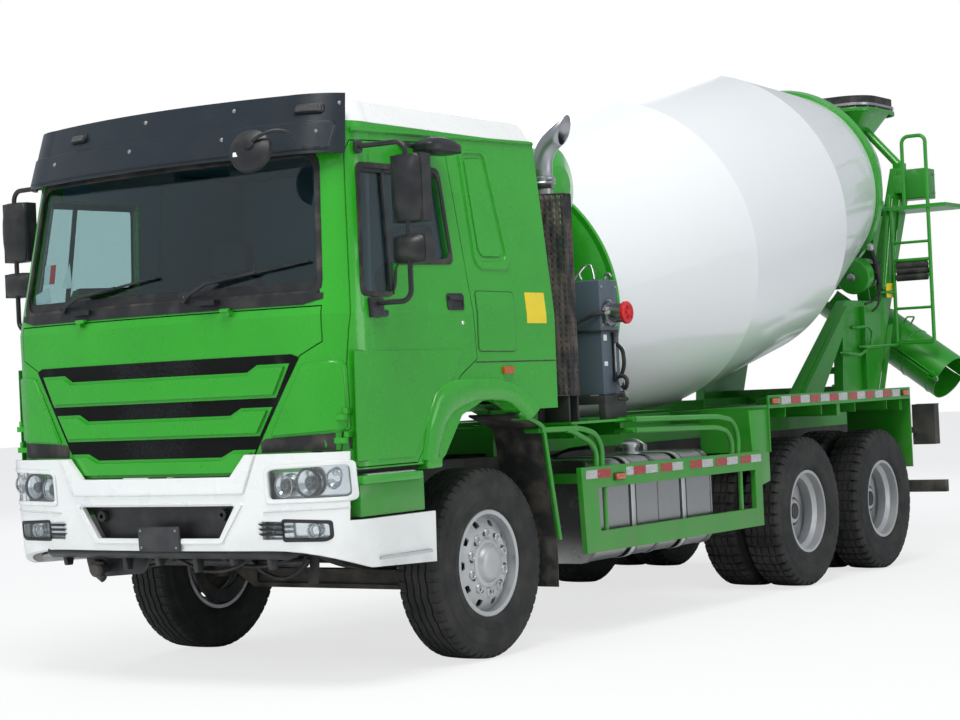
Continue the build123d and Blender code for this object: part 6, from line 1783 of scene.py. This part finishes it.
# gear lever beside the driver's seat, rubber gaiter and knob
stick = [bar([(-0.3, -0.42, 1.56), (-0.305, -0.47, 1.7), (-0.31, -0.48, 1.86)], 0.01, 0.06, 10),
    lathe([(0, 0), (0, 0.06), (0.03, 0.05), (0.04, 0.054), (0.07, 0.038), (0.08, 0.04), (0.11, 0.016),
            (0.11, 0)], at(-0.3, -0.42, 1.5), (0, -0.1, 1), 24),
    lathe([(-0.02, 0), (-0.02, 0.016), (0, 0.026), (0.026, 0.026), (0.04, 0.014), (0.04, 0)],
        at(-0.31, -0.48, 1.86), (0, 0, 1), 24)]
piece("gear_lever", stick, "rubber")
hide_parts("cab_interior")
print("dashboard", len(dash.data.polygons), "faces")

# %% [markdown]
# Blank papers lie behind the glass at the driver's side, and two sun blinds hang folded under
# the roof.

# %% Papers and blinds
papers = [("paper_label", [(-1.01, 2.1), (-0.88, 2.135), (-0.905, 2.215), (-1.035, 2.18)]),
    ("paper_label", [(-0.79, 2.2), (-0.69, 2.2), (-0.735, 2.345)]),
    ("paper_label", [(-0.965, 2.235), (-0.915, 2.235), (-0.915, 2.345), (-0.965, 2.345)]),
    ("red_cap", [(-0.91, 2.235), (-0.86, 2.235), (-0.86, 2.345), (-0.91, 2.345)])]
for k, (look, outline) in enumerate(papers):
    trim(f"paper_{k + 1}", outline, 0.0008, on_front(lift=-0.03), look, bevel=0, step=0.05)
for side_name, side in SIDES:
    piece(f"sun_blind_{side_name}", box(side * 0.2, side * 0.86, -1.02, -0.985, 2.77, 2.9), "dark_trim",
        bevel=0.012, segments=3)

# %% [markdown]
# ## Under the nose
# Below the bumper one sees the dark working parts: a pressed crossmember with a tow jaw, the
# steering box with its drop arm and drag link, air hoses that sag between clips, and the
# brake chambers on the front axle. They are mostly shadow, but their outlines give the nose its depth.

# %% Crossmember, jaw and air deflector
member = side_plate([(-1.44, 0.712), (-1.43, 0.752), (-1.32, 0.76), (-1.25, 0.73), (-1.3, 0.688),
        (-1.4, 0.684)], -0.9, 0.82)
piece("nose_member", member, "black_plastic", bevel=0.01)
jaw = [lathe([(-0.05, 0), (-0.05, 0.034), (-0.034, 0.042), (0.03, 0.042), (0.044, 0.03), (0.044, 0)],
        at(-0.6, -1.34, 0.62), (0.25, -1, -0.15), 20),
    bar([(-0.6, -1.34, 0.6), (-0.585, -1.345, 0.665)], 0.03, 0, 12),
    bar([(-0.56, -1.34, 0.56), (-0.6, -1.345, 0.59), (-0.65, -1.34, 0.64)], 0.022, 0.02, 10)]
piece("tow_jaw", jaw, "cast_iron")
deflector = cross_plate(rounded([(-0.72, 0.56), (-0.3, 0.59), (-0.24, 0.69), (-0.76, 0.69)], 0.04, 4),
    -1.28, -1.268)
piece("air_deflector", deflector, "black_plastic", bevel=0.003)
print("nose member done")

# %% Steering box, drag link and hoses
box_parts = [lathe([(-0.15, 0), (-0.15, 0.048), (-0.13, 0.066), (0.08, 0.072), (0.11, 0.058), (0.15, 0.05),
            (0.15, 0)], at(0.56, -0.96, 0.8), (0, 1, 0.15), 28),
    lathe([(-0.06, 0), (-0.06, 0.05), (0.05, 0.056), (0.06, 0.04), (0.06, 0)], at(0.58, -0.96, 0.74),
        (1, 0, 0), 24),
    bar([(0.65, -0.96, 0.74), (0.655, -0.97, 0.6), (0.655, -0.985, 0.52)], [0.034, 0.026, 0.03], 0, 14)]
piece("steering_box", box_parts, "cast_iron")
piece("cross_tube", bar([(-0.64, -1.02, 0.64), (0.64, -1.02, 0.64)], 0.03, 0, 16), "black_plastic")
drops = [bar([(x, -1.02, 0.64), (x, -1.02, 0.84)], 0.02, 0, 10) for x in (-0.56, -0.2, 0.2)]
piece("cross_tube_hangers", drops, "black_plastic")
hoses = []
random.seed(11)
for x0, x1, z, sag, y in ((-0.62, -0.1, 0.7, 0.075, -1.22), (-0.2, 0.42, 0.69, 0.095, -1.17),
    (0.1, 0.64, 0.68, 0.06, -1.12), (0.28, 0.7, 0.66, 0.11, -1.06)):
    route = [at(x0 + (x1 - x0) * t, y + random.uniform(-0.01, 0.01), z - sag * 4 * t * (1 - t))
        for t in (k / 10 for k in range(11))]
    hoses.append(tube(route, 0.011, 0, 10))
piece("nose_hoses", hoses, "rubber")
print("steering box and", len(hoses), "hoses")

# %% Brake chambers and lower engine cover
chambers = []
for side_name, side in SIDES:
    chambers += [lathe([(-0.07, 0), (-0.07, 0.066), (-0.01, 0.078), (0, 0.084), (0.012, 0.084),
                (0.022, 0.076), (0.075, 0.06), (0.09, 0.03), (0.09, 0)], at(side * 0.56, -0.17, 0.64),
            (side * 0.2, -1, 0.1), 28),
        bar([(side * 0.56, -0.25, 0.65), (side * 0.52, -0.38, 0.7), (side * 0.47, -0.42, 0.86)], 0.01, 0.05,
            8)]
piece("front_brake_chambers", chambers, "cast_iron")
sump = side_plate(rounded([(-0.7, 0.72), (-0.64, 0.6), (-0.1, 0.54), (0.26, 0.54), (0.3, 0.72)], 0.05, 4),
    -0.22, 0.22)
piece("sump", sump, "cast_iron", bevel=0.016)
# a dark plate inside each front rim: partly the brake's backing plate, partly painted shade that keeps the
# inside of the rim dark
for side_name, side in SIDES:
    piece(f"brake_shield_shade_{side_name}", lathe([(0, 0.178), (0, 0.25), (0.01, 0.262), (0.014, 0.25),
                (0.012, 0.178)], at(side * 0.864, 0, AXLE_Z), (side, 0, 0), 56), "cast_iron",
        f"knuckle_{side_name}")
brackets = [side_plate([(-1.4, 0.7), (-1.33, 0.7), (-1.345, z), (-1.385, z)], x, x + 0.03)
    for x, z in ((-0.82, 0.64), (-0.36, 0.62), (-0.12, 0.645), (0.16, 0.61), (0.42, 0.65), (0.68, 0.63))]
piece("nose_brackets", brackets, "black_plastic", bevel=0.004)
print("brake chambers", len(chambers) // 2)
